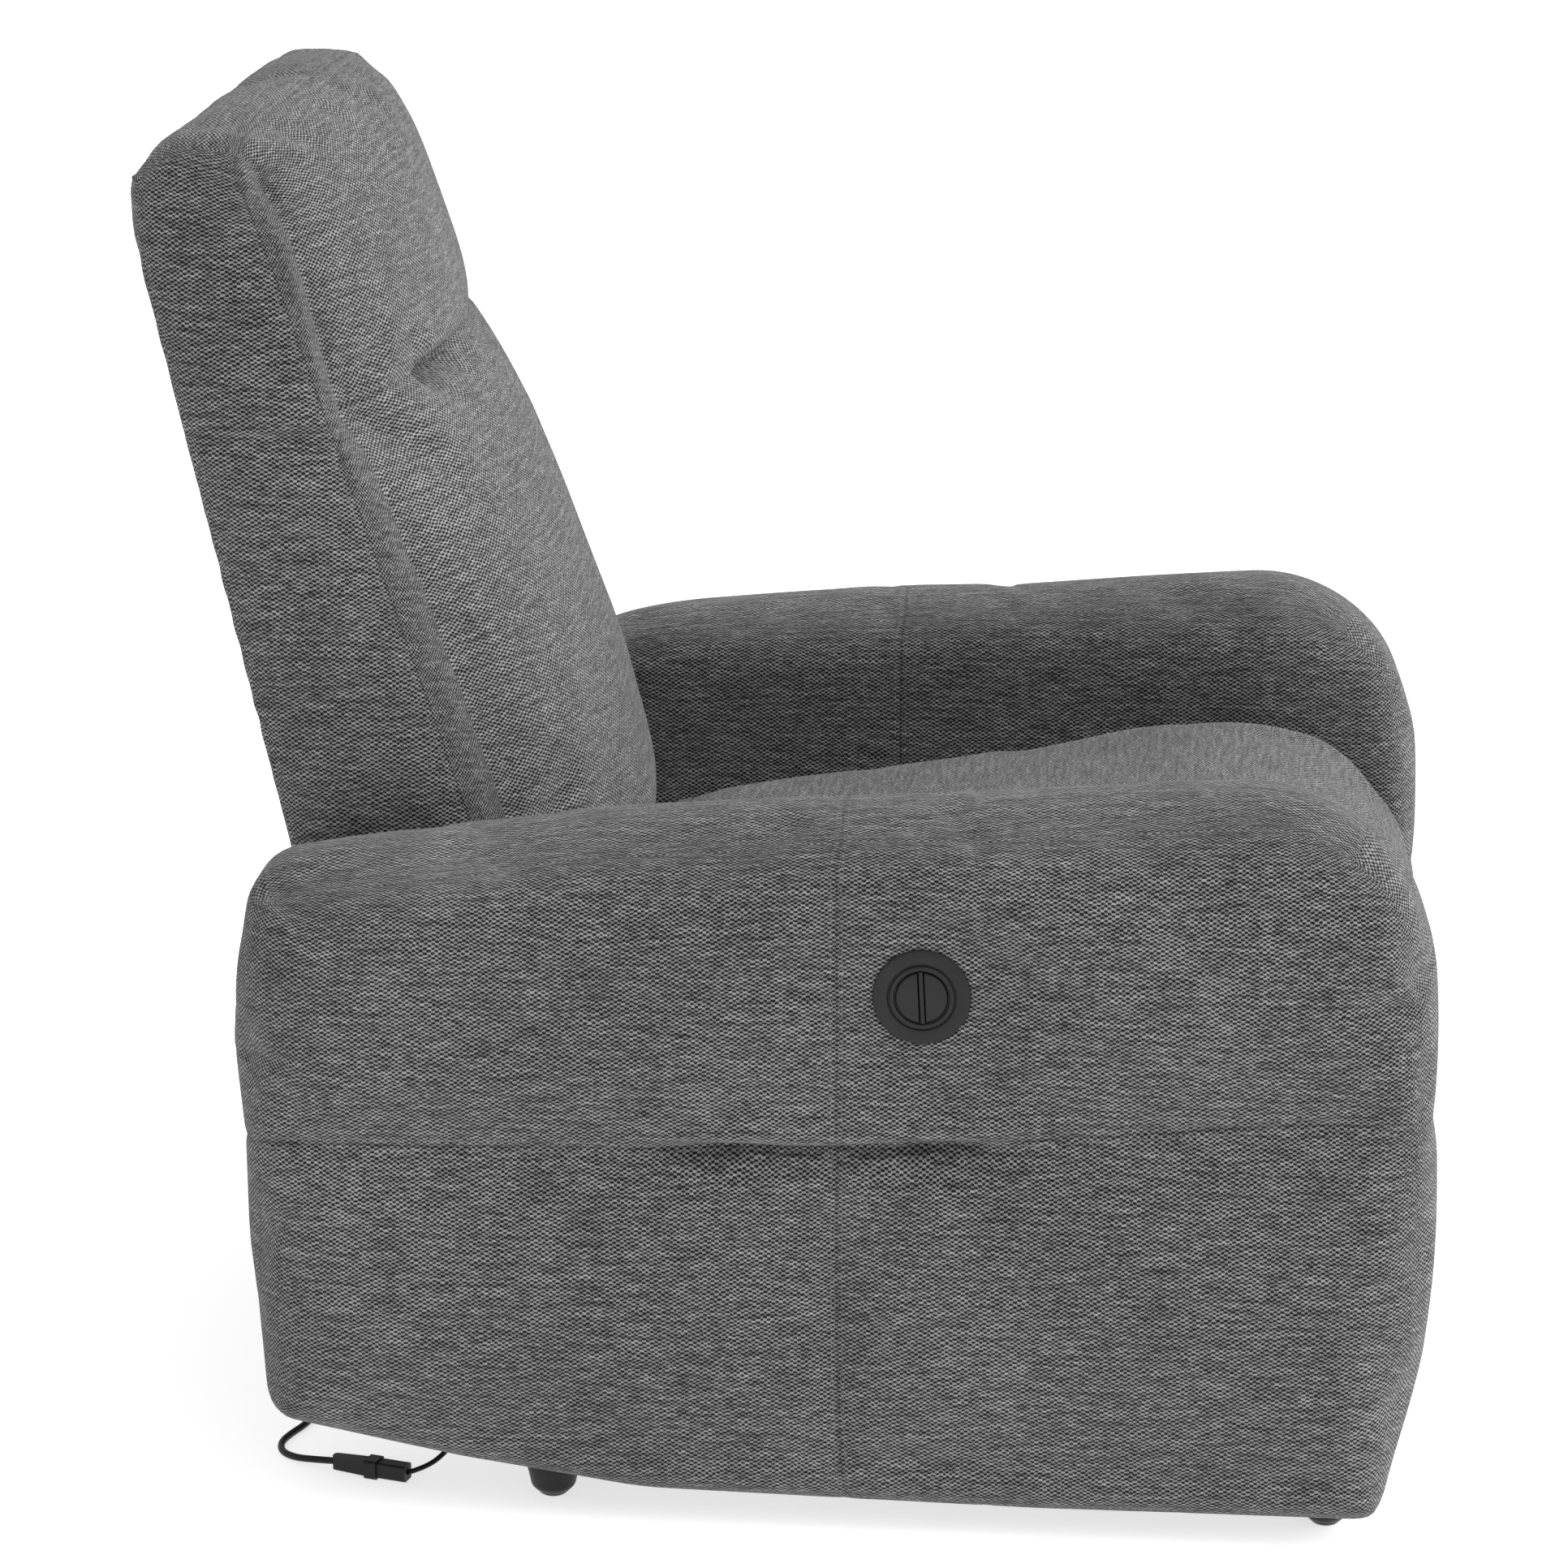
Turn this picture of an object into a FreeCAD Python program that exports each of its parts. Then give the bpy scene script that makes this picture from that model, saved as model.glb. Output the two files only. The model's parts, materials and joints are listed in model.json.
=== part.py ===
import FreeCAD, Part
import math
import os
from FreeCAD import Vector

# Power recliner armchair, closed and upright.  Millimetres.
# +X is the way the sitter faces, +Z is up, the sitter's right arm is at -Y.
# The origin is on the floor, under the middle of the chair's box.

# ---- driving dimensions ----------------------------------------------------------------------
ARM_IN = 265.0            # |Y| of each arm's inner face
ARM_OUT = 395.0           # |Y| of each arm's outer face
BACK_REAR = -493.0
BACK_TOP = 1049.0
PANEL_OUT = 287.0         # |Y| of the plywood panel's outer face
PANEL_IN = 272.0          # |Y| of the plywood panel's inner face
FRAME_OUT = 371.0         # |Y| where the wood ends and the outer foam begins
FOOT_Y = 332.0            # |Y| of the feet
FOOT_R = 20.0
FEET = [(-176.0, 45.8), (415.0, 44.0)]    # X and height of the rear and front feet
SEAT_HALF = 262.0         # half width of the seat cushion and the footrest pad
BACK_HALF = 255.0         # half width of the backrest
CLEAR = 0.05              # radial running clearance of every pivot
PIN_R = 4.0

# Each steel layer lies between these two |Y| values, outermost first.
LAYER_RAIL = (262.0, 265.0)
LAYER_ROD = (261.8, 264.4)
LAYER_SWING = (258.0, 261.0)
LAYER_PLATE = (254.0, 257.0)
LAYER_DRIVE = (250.0, 253.0)
LAYER_CARRIER = (246.0, 249.0)
LAYER_BOARD_LINK = (242.0, 245.0)
LAYER_BRACKET = (238.0, 241.0)

# Seat carriage: two equal swing links a side, closed at SWING_HALF behind the vertical.
SWING_LEN = 130.0
SWING_HALF = 25.0
REAR_BASE = (-120.0, 110.0)
FRONT_BASE = (130.0, 110.0)
LINK_TAIL = 20.0          # how far the front swing link goes on above its seat pivot
# Backrest hinge, and the lever below it that the drive rod pulls.
BACK_PIVOT = (-195.0, 330.0)
RECLINE = 36.0
LEVER_LEN = LINK_TAIL * math.sin(math.radians(SWING_HALF)) / math.sin(math.radians(RECLINE / 2))

# Footrest: two parallelograms a side.  The drive link turns about DRIVE_PIVOT.
DRIVE_PIVOT = (315.0, 262.0)
DRIVE_VEC = (-110.0, -195.0)      # drive link, closed
TRAIL_OFFSET = (-64.8, -5.7)      # trailing link's pivot from the drive link's
CARRIER_VEC = (175.0, 138.0)      # carrier link, which keeps its direction
BOARD_GAP = 55.0                  # between the carrier's and the board link's pivots
CRANK_R = 70.0
CRANK_HALF = 47.5                 # the crank swings this far each side of straight down

SWITCH_X = 109.0
SWITCH_Z = 431.0
BEZEL_R = 36.0
BUTTON_R = 19.0
LEAD_R = 2.0                      # thin lead from the chair to the connector
SUPPLY_R = 2.75                   # supply lead
COIL_CENTRE = (-350.0, 20.0)
COIL_MID_R = 30.0
COIL_LIFT = 0.8                   # thickness of the tie under the coil


# ---- helpers ---------------------------------------------------------------------------------
def save(name, shape):
    shape.exportStep("parts/" + name + ".step")
    print(name, "solids", len(shape.Solids), "volume", round(shape.Volume), "valid", shape.isValid())


def rounded_face(points, plane="XZ"):
    """A face whose corners are (a, b) or (a, b, radius), in the XZ, YZ or XY plane."""
    place = {
        "XZ": lambda a, b: Vector(a, 0, b),
        "YZ": lambda a, b: Vector(0, a, b),
        "XY": lambda a, b: Vector(a, b, 0),
    }[plane]
    corners = [place(p[0], p[1]) for p in points]
    radii = [p[2] if len(p) > 2 else 0.0 for p in points]
    count = len(points)
    starts, ends, arcs = [], [], []
    for i in range(count):
        here, before, after = corners[i], corners[i - 1], corners[(i + 1) % count]
        to_before = (before - here).normalize()
        to_after = (after - here).normalize()
        if radii[i] == 0.0:
            starts.append(here)
            ends.append(here)
            arcs.append(None)
            continue
        half = to_before.getAngle(to_after) / 2
        reach = radii[i] / math.tan(half)
        start = here + to_before * reach
        end = here + to_after * reach
        bisector = (to_before + to_after).normalize()
        middle = here + bisector * (radii[i] / math.sin(half) - radii[i])
        starts.append(start)
        ends.append(end)
        arcs.append(Part.Arc(start, middle, end).toShape())
    edges = []
    for i in range(count):
        if arcs[i] is not None:
            edges.append(arcs[i])
        goal = starts[(i + 1) % count]
        if (goal - ends[i]).Length > 1e-6:
            edges.append(Part.LineSegment(ends[i], goal).toShape())
    return Part.Face(Part.Wire(edges))


def slab(points, y_low, y_high):
    """An XZ outline as a solid between two Y values."""
    face = rounded_face(points)
    face.translate(Vector(0, y_low, 0))
    return face.extrude(Vector(0, y_high - y_low, 0))


def block(x_low, x_high, y_low, y_high, z_low, z_high):
    corner = Vector(x_low, y_low, z_low)
    return Part.makeBox(x_high - x_low, y_high - y_low, z_high - z_low, corner)


def rod(x, z, radius, y_low, y_high):
    """A round bar along Y."""
    return Part.makeCylinder(radius, y_high - y_low, Vector(x, y_low, z), Vector(0, 1, 0))


def mirrored(shape):
    return shape.mirror(Vector(0, 0, 0), Vector(0, 1, 0))


def both(shape):
    """A left-hand shape and its mirror image, as separate solids."""
    return Part.makeCompound([shape, mirrored(shape)])


def save_pair(name, left_shape):
    save(name + "_left", left_shape)
    save(name + "_right", mirrored(left_shape))


def plus(p, q, scale=1.0):
    return (p[0] + q[0] * scale, p[1] + q[1] * scale)


def strap(points, half_width, layer):
    """A flat link through the pivots in points, with round ends, in one layer."""
    low, high = layer
    shape = None
    for p, q in zip(points, points[1:]):
        dx, dz = q[0] - p[0], q[1] - p[1]
        length = math.hypot(dx, dz)
        nx, nz = -dz / length * half_width, dx / length * half_width
        bar = slab([(p[0] + nx, p[1] + nz), (p[0] - nx, p[1] - nz),
                    (q[0] - nx, q[1] - nz), (q[0] + nx, q[1] + nz)], low, high)
        piece = bar.fuse([rod(p[0], p[1], half_width, low, high), rod(q[0], q[1], half_width, low, high)])
        shape = piece if shape is None else shape.fuse(piece)
    return shape.removeSplitter()


def drilled(shape, pivots, radius=PIN_R + CLEAR):
    for x, z in pivots:
        shape = shape.cut(rod(x, z, radius, 200, 300))
    return shape


def tube_along(points, radius):
    """A round tube along straight runs joined by tangent arcs; prints its smallest arc radius."""
    points = [Vector(*p) for p in points]
    edges = []
    here = points[0]
    smallest = 1e9
    for before, corner, after in zip(points, points[1:], points[2:]):
        to_before = before - corner
        to_after = after - corner
        shorter = min(to_before.Length, to_after.Length)
        to_before.normalize()
        to_after.normalize()
        half_turn = (math.pi - to_before.getAngle(to_after)) / 2
        reach = 0.45 * shorter
        bend = reach / math.tan(half_turn)
        smallest = min(smallest, bend)
        start = corner + to_before * reach
        end = corner + to_after * reach
        bisector = (to_before + to_after).normalize()
        middle = corner + bisector * (bend / math.cos(half_turn) - bend)
        edges.append(Part.LineSegment(here, start).toShape())
        edges.append(Part.Arc(start, middle, end).toShape())
        here = end
    edges.append(Part.LineSegment(here, points[-1]).toShape())
    length = sum(e.Length for e in edges)
    path = Part.Wire(edges)
    profile = Part.Wire(Part.makeCircle(radius, points[0], points[1] - points[0]))
    shape = path.makePipeShell([profile], True, False)
    print("cord: length", round(length, 1), "smallest bend", round(smallest, 1),
          "volume over section times length", round(shape.Volume / (math.pi * radius ** 2 * length), 4))
    return shape


# ---- backrest lines, used by several parts ---------------------------------------------------
def seam_x(z):
    """X of the seam between the back's front and its side."""
    return -247.0 - (z - 522.0) / 3.0


def rear_x(z):
    """X of the back's rear surface."""
    return -384.0 - (z - 505.0) * 0.227


# ---- arms --------------------------------------------------------------------------------------
def arm_outline():
    return [(462, 22, 14), (493.6, 190, 300), (489.5, 430, 250), (478, 579, 85), (-150, 536, 600),
            (-392, 499, 32), (-415, 400, 200), (-409, 180, 250), (-392, 74, 22), (-240, 47, 250),
            (-100, 27, 300), (200, 22, 300)]


def make_arm_pad():
    side = slab(arm_outline(), ARM_IN, ARM_OUT)
    top_r = 58.0
    cross = rounded_face([(ARM_IN, 0, 8), (ARM_IN, 612, top_r), (ARM_OUT, 612, top_r), (ARM_OUT, 0, 8)], "YZ")
    cross.translate(Vector(-420, 0, -95))
    cross = cross.extrude(Vector(920, 0, 66))
    plan = rounded_face([(-416, ARM_IN, 20), (494, ARM_IN, 20), (494, ARM_OUT, 34), (-416, ARM_OUT, 30)], "XY")
    plan = plan.extrude(Vector(0, 0, 700))
    return side.common(cross).common(plan)


def frame_outline(inset):
    """The wood frame's outline inside the arm, drawn in by inset."""
    return [(446 - inset, 44 + inset), (458 - inset, 180), (458 - inset, 430), (400 - inset, 522 - inset),
            (-335 + inset, 458 - inset), (-380 + inset, 385), (-380 + inset, 120 + inset),
            (-350 + inset, 95 + inset), (-200, 46 + inset)]


def make_arms():
    pocket = slab(frame_outline(0), PANEL_IN, FRAME_OUT)
    pad = make_arm_pad().cut(pocket)
    for x, height in FEET:
        pad = pad.cut(Part.makeCylinder(FOOT_R + 0.5, height, Vector(x, FOOT_Y, 0)))
    frame = slab(frame_outline(0), PANEL_OUT, FRAME_OUT).cut(slab(frame_outline(38), PANEL_OUT, FRAME_OUT))
    pad = drilled(pad, BASE_BOLTS, BOLT_R + CLEAR)
    panel = drilled(slab(frame_outline(0), PANEL_IN, PANEL_OUT), BASE_BOLTS, BOLT_R + CLEAR)
    save_pair("arm_panel", panel)
    save_pair("arm_frame", frame)
    save("arm_pad_left", pad)
    switch_hole = rod(SWITCH_X, SWITCH_Z, HOUSING_R + 0.5, -ARM_OUT - 1, -FRAME_OUT + 1)
    save("arm_pad_right", mirrored(pad).cut(switch_hole))


# ---- feet --------------------------------------------------------------------------------------
def glide(x, height):
    """A plastic glide: a short stem, a wide collar and a dome that narrows to a rounded tip."""
    half = [(0, 0), (9, 0, 5), (17, 8, 8), (FOOT_R, 22, 4), (FOOT_R, height - 3, 1), (14, height), (0, height)]
    face = rounded_face(half)
    shape = face.revolve(Vector(0, 0, 0), Vector(0, 0, 1), 360)
    shape.translate(Vector(x, FOOT_Y, 0))
    return shape


def make_feet():
    for name, (x, height) in zip(("rear_feet", "front_feet"), FEET):
        save(name, both(glide(x, height)))


# ---- fixed steel base --------------------------------------------------------------------------
BOLT_R = 3.0
BASE_BOLTS = [(-150, 128), (-40, 128), (60, 128), (165, 128)]


def make_base():
    low, high = LAYER_RAIL
    rail = slab([(-172, 88, 8), (188, 88, 8), (188, 142, 8), (-172, 142, 8)], low, high)
    rail = drilled(rail, [REAR_BASE, FRONT_BASE])
    rail = drilled(rail, BASE_BOLTS, BOLT_R + CLEAR)
    save_pair("base_rail", rail)
    pins = [rod(x, z, PIN_R, LAYER_SWING[0] - 0.3, high) for x, z in (REAR_BASE, FRONT_BASE)]
    save("base_pins", Part.makeCompound(pins + [mirrored(p) for p in pins]))
    bolts = []
    for x, z in BASE_BOLTS:
        bolts.append(rod(x, z, BOLT_R, low, PANEL_OUT - 1))
    save("base_bolts", Part.makeCompound(bolts + [mirrored(b) for b in bolts]))
    for name, x in (("front_cross_tube", 60), ("rear_cross_tube", -200)):
        half, wall = 12.5, 2.0
        outer = block(x - half, x + half, -ARM_IN, ARM_IN, 50, 75)
        inner = block(x - half + wall, x + half - wall, -ARM_IN, ARM_IN, 50 + wall, 75 - wall)
        save(name, outer.cut(inner))


# ---- switch on the right arm -------------------------------------------------------------------
HOUSING_R = 27.0
BUTTON_TRAVEL = 1.5


def half_moon(upper, radius, y_low, y_high):
    """One of the two half-round buttons; the rib between them leans three degrees."""
    disc = rod(0, 0, radius, y_low, y_high)
    gap = 2.4
    keep = block(-40, 40, y_low - 1, y_high + 1, gap, 40)
    if not upper:
        keep = block(-40, 40, y_low - 1, y_high + 1, -40, -gap)
    shape = disc.common(keep)
    shape.rotate(Vector(0, 0, 0), Vector(0, 1, 0), 90 - 3)
    shape.translate(Vector(SWITCH_X, 0, SWITCH_Z))
    return shape


def make_switch():
    face = -ARM_OUT
    proud = face - 2.2
    plate = rod(SWITCH_X, SWITCH_Z, BEZEL_R, proud, face)
    plate = plate.makeChamfer(1.4, [e for e in plate.Edges
                                    if abs(e.CenterOfMass.y - proud) < 0.1 and e.Length > 100])
    ring = rod(SWITCH_X, SWITCH_Z, 23.5, proud - 1.2, proud)
    bezel = plate.fuse(ring).cut(rod(SWITCH_X, SWITCH_Z, BUTTON_R + 0.4, proud - 2, face + 1))
    rib = block(-BUTTON_R - 1, BUTTON_R + 1, proud - 1.0, face, -1.6, 1.6)
    rib.rotate(Vector(0, 0, 0), Vector(0, 1, 0), 90 - 3)
    rib.translate(Vector(SWITCH_X, 0, SWITCH_Z))
    save("button_bezel", bezel.fuse(rib).removeSplitter())
    cup = rod(SWITCH_X, SWITCH_Z, HOUSING_R, face, face + 40)
    cup = cup.cut(rod(SWITCH_X, SWITCH_Z, HOUSING_R - 2.5, face - 1, face + 37))
    save("button_housing", cup)
    board_y = face + 12
    board = rod(SWITCH_X, SWITCH_Z, HOUSING_R - 2.6, board_y, board_y + 1.6)
    save("switch_board", board)
    button_back = board_y - BUTTON_TRAVEL - 0.4
    save("open_button", half_moon(True, BUTTON_R, proud - 1.0, button_back))
    save("close_button", half_moon(False, BUTTON_R, proud - 1.0, button_back))


# ---- seat carriage -----------------------------------------------------------------------------
def swung(base, length):
    """The point this far along a swing link, closed."""
    lean = math.radians(SWING_HALF)
    return (base[0] - length * math.sin(lean), base[1] + length * math.cos(lean))


REAR_SEAT = swung(REAR_BASE, SWING_LEN)
FRONT_SEAT = swung(FRONT_BASE, SWING_LEN)
ROD_FRONT = swung(FRONT_BASE, SWING_LEN + LINK_TAIL)
LEVER_END = (BACK_PIVOT[0] - LEVER_LEN * math.sin(math.radians(RECLINE / 2)),
             BACK_PIVOT[1] - LEVER_LEN * math.cos(math.radians(RECLINE / 2)))
ROD_DRIFT = 3.3           # how far the front stud rises in the rod's eye at half recline


def make_swing_links():
    rear = drilled(strap([REAR_BASE, REAR_SEAT], 11, LAYER_SWING), [REAR_BASE, REAR_SEAT])
    save_pair("rear_link", rear)
    front = drilled(strap([FRONT_BASE, ROD_FRONT], 11, LAYER_SWING), [FRONT_BASE, FRONT_SEAT])
    stud = rod(ROD_FRONT[0], ROD_FRONT[1], PIN_R, LAYER_SWING[0], LAYER_ROD[1])
    save_pair("front_link", front.fuse(stud))


def make_drive_rods():
    # The rod hangs from the lever's stud.  Its front eye is wide, because that pivot is left open.
    front_eye = (ROD_FRONT[0], ROD_FRONT[1] + ROD_DRIFT / 2)
    shape = strap([LEVER_END, front_eye], 9, LAYER_ROD)
    shape = drilled(shape, [LEVER_END])
    shape = drilled(shape, [front_eye], PIN_R + ROD_DRIFT / 2 + CLEAR)
    save("back_drive_links", both(shape))


TRAIL_PIVOT = plus(DRIVE_PIVOT, TRAIL_OFFSET)
TUBE_SPOTS = [(-150.0, 252.0), (185.0, 266.0)]
TUBE_R = 11.0


def make_seat_frame():
    low, high = LAYER_PLATE
    web = slab([(-172, 208, 10), (60, 205, 40), (110, 208, 30), (255, 242, 10), (332, 246, 12),
                (332, 282), (-176, 282), (-179, 345, 14), (-213, 345, 14), (-213, 250, 30)], low, high)
    web = drilled(web, [REAR_SEAT, FRONT_SEAT, BACK_PIVOT, DRIVE_PIVOT, TRAIL_PIVOT])
    flange = block(-140, 332, 241, high, 282, 285)
    save_pair("seat_plate", web.fuse(flange).removeSplitter())
    tubes = []
    for x, z in TUBE_SPOTS:
        tubes.append(rod(x, z, TUBE_R, -low, low).cut(rod(x, z, TUBE_R - 2, -low, low)))
    save("seat_cross_tubes", Part.makeCompound(tubes))
    pins = []
    for x, z in (REAR_SEAT, FRONT_SEAT, BACK_PIVOT):
        pins.append(rod(x, z, PIN_R, low - 0.4, LAYER_SWING[1] + 0.3))
    pins.append(rod(TRAIL_PIVOT[0], TRAIL_PIVOT[1], PIN_R, LAYER_DRIVE[0] - 0.4, high + 0.4))
    pins.append(rod(DRIVE_PIVOT[0], DRIVE_PIVOT[1], PIN_R, 228, high + 0.4))
    save("seat_pins", Part.makeCompound(pins + [mirrored(p) for p in pins]))
    ends = [block(390, 420, -250, 250, 285, 317), block(-150, -120, -250, 250, 285, 317)]
    side_rail = block(-120, 390, 220, 250, 285, 317)
    save("seat_rails", Part.makeCompound(ends + [side_rail, mirrored(side_rail)]))


def zigzag_spring(start, end, half_width, pitch, radius, place):
    """A sinuous wire from start to end along one direction, swinging by half_width each side."""
    edges = []
    bend = pitch / 2
    here = start
    side = 1
    edges.append(Part.LineSegment(place(here, 0), place(here, half_width - bend)).toShape())
    while here + pitch <= end:
        outer = side * (half_width - bend)
        edges.append(Part.Arc(place(here, outer), place(here + bend, outer + side * bend),
                              place(here + pitch, outer)).toShape())
        here += pitch
        side = -side
        if here + pitch <= end:
            edges.append(Part.LineSegment(place(here, outer), place(here, -outer)).toShape())
        else:
            edges.append(Part.LineSegment(place(here, outer), place(here, 0)).toShape())
    tangent = edges[0].Vertexes[1].Point - edges[0].Vertexes[0].Point
    profile = Part.Wire(Part.makeCircle(radius, edges[0].Vertexes[0].Point, tangent))
    return Part.Wire(edges).makePipeShell([profile], True, False)


def make_seat_springs():
    springs = []
    wire_r, wire_z = 1.8, 310.0
    for y in (-160, -80, 0, 80, 160):
        springs.append(zigzag_spring(-118, 388, 24, 23.0, wire_r, lambda s, t, y=y: Vector(s, y + t, wire_z)))
    save("seat_springs", Part.makeCompound(springs))


def make_seat_cushion():
    outline = [(-150, 318), (-150, 394), (60, 428, 400), (300, 472, 220), (432, 466, 60), (486, 380, 90),
               (486, 291, 10), (424, 291), (424, 318)]
    side = slab(outline, -SEAT_HALF, SEAT_HALF)
    plan = rounded_face([(-150, -SEAT_HALF), (-150, SEAT_HALF), (486, SEAT_HALF, 22), (486, -SEAT_HALF, 22)], "XY")
    save("seat_cushion", side.common(plan.extrude(Vector(0, 0, 700))))


# ---- drive unit under the seat ------------------------------------------------------------------
RAIL_Y = 40.0
RAIL_Z = (112.0, 134.0)


def make_actuator():
    z_low, z_high = RAIL_Z
    rail = block(-135, 395, RAIL_Y - 17, RAIL_Y + 17, z_low, z_high)
    rail = rail.cut(block(-133, 393, RAIL_Y - 15, RAIL_Y + 15, z_low + 2, z_high))
    parts = []
    for x, z in TUBE_SPOTS:
        hanger_x = max(x, -122.0)
        hanger = slab([(hanger_x - 10, z_high - 15), (hanger_x + 10, z_high - 15), (hanger_x + 10, z - TUBE_R - 8),
                       (hanger_x - 10, z - TUBE_R - 8)], RAIL_Y + 17, RAIL_Y + 20)
        saddle = block(min(x, hanger_x) - 10, hanger_x + 10, RAIL_Y - 10, RAIL_Y + 20, z - TUBE_R - 8, z - TUBE_R + 4)
        parts.append(hanger.fuse(saddle).cut(rod(x, z, TUBE_R + 0.02, 0, 100)))
    save("actuator_rail", rail.fuse(parts).removeSplitter())
    gearbox = block(-185, -135, RAIL_Y - 28, RAIL_Y + 28, 104, 156)
    gearbox = gearbox.makeFillet(6, [e for e in gearbox.Edges if e.Length < 51 and e.CenterOfMass.x < -150])
    save("gearbox", gearbox)
    motor = Part.makeCylinder(27, 110, Vector(-160, RAIL_Y - 28, 130), Vector(0, -1, 0))
    motor = motor.makeChamfer(2.5, [e for e in motor.Edges if abs(e.CenterOfMass.y - (RAIL_Y - 138)) < 0.1])
    save("motor", motor)
    screw = Part.makeCylinder(5, 524, Vector(-132.8, RAIL_Y, 123), Vector(1, 0, 0))
    save("lead_screw", screw)


SLOT_HALF = 7.0
CRANK_X = DRIVE_PIVOT[0] - CRANK_R * math.sin(math.radians(CRANK_HALF))
CRANK_Z = DRIVE_PIVOT[1] - CRANK_R * math.cos(math.radians(CRANK_HALF))


def make_drive_block():
    """A nut block round the screw, with an upright slotted fork that pushes the crank pin."""
    lug_y = (RAIL_Y - 4, RAIL_Y + 4)
    body = block(CRANK_X - 20, CRANK_X + 20, RAIL_Y - 13, RAIL_Y + 13, 116, 142)
    body = body.cut(Part.makeCylinder(5.1, 80, Vector(CRANK_X - 40, RAIL_Y, 123), Vector(1, 0, 0)))
    lug = slab([(CRANK_X - 17, 140), (CRANK_X + 17, 140), (CRANK_X + 17, 230, 12), (CRANK_X - 17, 230, 12)], *lug_y)
    slot = slab([(CRANK_X - SLOT_HALF, 179, SLOT_HALF - 0.1), (CRANK_X + SLOT_HALF, 179, SLOT_HALF - 0.1),
                 (CRANK_X + SLOT_HALF, 223, SLOT_HALF - 0.1), (CRANK_X - SLOT_HALF, 223, SLOT_HALF - 0.1)], *lug_y)
    save("drive_block", body.fuse(lug).cut(slot).removeSplitter())


# ---- footrest ----------------------------------------------------------------------------------
DRIVE_END = plus(DRIVE_PIVOT, DRIVE_VEC)
TRAIL_END = plus(TRAIL_PIVOT, DRIVE_VEC)
CARRIER_END = plus(DRIVE_END, CARRIER_VEC)
BOARD_SHIFT = (-DRIVE_VEC[0] / math.hypot(*DRIVE_VEC) * BOARD_GAP,
               -DRIVE_VEC[1] / math.hypot(*DRIVE_VEC) * BOARD_GAP)
BOARD_LINK_LOW = plus(DRIVE_END, BOARD_SHIFT)
BOARD_LINK_HIGH = plus(CARRIER_END, BOARD_SHIFT)


def stud(point, y_low, y_high):
    return rod(point[0], point[1], PIN_R, y_low, y_high)


def make_footrest():
    x, z = DRIVE_PIVOT
    tube_end = LAYER_DRIVE[0]
    tube = rod(x, z, 9.5, -tube_end, tube_end)
    crank_tip = (CRANK_X, CRANK_Z)
    # two crank cheeks with the pin between them; the fork of the drive block runs in the gap
    for y in (RAIL_Y - 18, RAIL_Y + 12):
        tube = tube.fuse(strap([DRIVE_PIVOT, crank_tip], 10, (y, y + 6)))
    tube = tube.fuse(rod(CRANK_X, CRANK_Z, PIN_R, RAIL_Y - 18, RAIL_Y + 18))
    tube = tube.cut(rod(x, z, 7.5, -tube_end - 1, tube_end + 1))
    save("torque_tube", tube.removeSplitter())

    drive = drilled(strap([DRIVE_PIVOT, DRIVE_END], 10, LAYER_DRIVE), [DRIVE_PIVOT])
    drive = drive.fuse([stud(DRIVE_END, LAYER_CARRIER[0] - 0.4, LAYER_DRIVE[1]),
                        stud(BOARD_LINK_LOW, LAYER_BOARD_LINK[0] - 0.4, LAYER_DRIVE[1])])
    save("drive_links", both(drive))
    trail = drilled(strap([TRAIL_PIVOT, TRAIL_END], 9, LAYER_DRIVE), [TRAIL_PIVOT])
    trail = trail.fuse(stud(TRAIL_END, LAYER_CARRIER[0] - 0.4, LAYER_DRIVE[1]))
    save("trailing_links", both(trail))
    carrier = strap([TRAIL_END, DRIVE_END, CARRIER_END], 10, LAYER_CARRIER)
    save("carrier_links", both(drilled(carrier, [TRAIL_END, DRIVE_END, CARRIER_END])))
    board_link = strap([BOARD_LINK_LOW, BOARD_LINK_HIGH], 8.5, LAYER_BOARD_LINK)
    save("board_links", both(drilled(board_link, [BOARD_LINK_LOW, BOARD_LINK_HIGH])))

    low, high = LAYER_BRACKET
    gx, gz = CARRIER_END
    fx, fz = BOARD_LINK_HIGH
    web = slab([(gx - 10, gz - 14, 6), (418, gz - 14), (418, fz + 10), (fx - 9, fz + 10, 6),
                (gx - 10, gz + 14, 6)], low, high)
    flange = block(415, 418, 225, high, gz - 14, fz + 10)
    bracket = web.fuse(flange)
    bracket = bracket.fuse([stud(CARRIER_END, low, LAYER_CARRIER[1] + 0.4),
                            stud(BOARD_LINK_HIGH, low, LAYER_BOARD_LINK[1] + 0.4)])
    save("footrest_brackets", both(bracket.removeSplitter()))
    save("footrest_board", block(418, 433, -246, 246, 72, 274))
    outline = [(433, 60, 5), (468, 60, 22), (488, 130, 120), (488, 230, 120), (474, 282, 22), (433, 282, 5)]
    pad = slab(outline, -SEAT_HALF, SEAT_HALF)
    save("footrest_pad", pad)


# ---- backrest ----------------------------------------------------------------------------------
def leaning(points):
    """Corners given as (offset from the seam line, Z)."""
    return [(seam_x(z) + offset, z) + tuple(rest) for offset, z, *rest in points]


POST_DEPTH = 45.0
POST_TOP = 985.0
POST_LOW = 345.0


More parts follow.
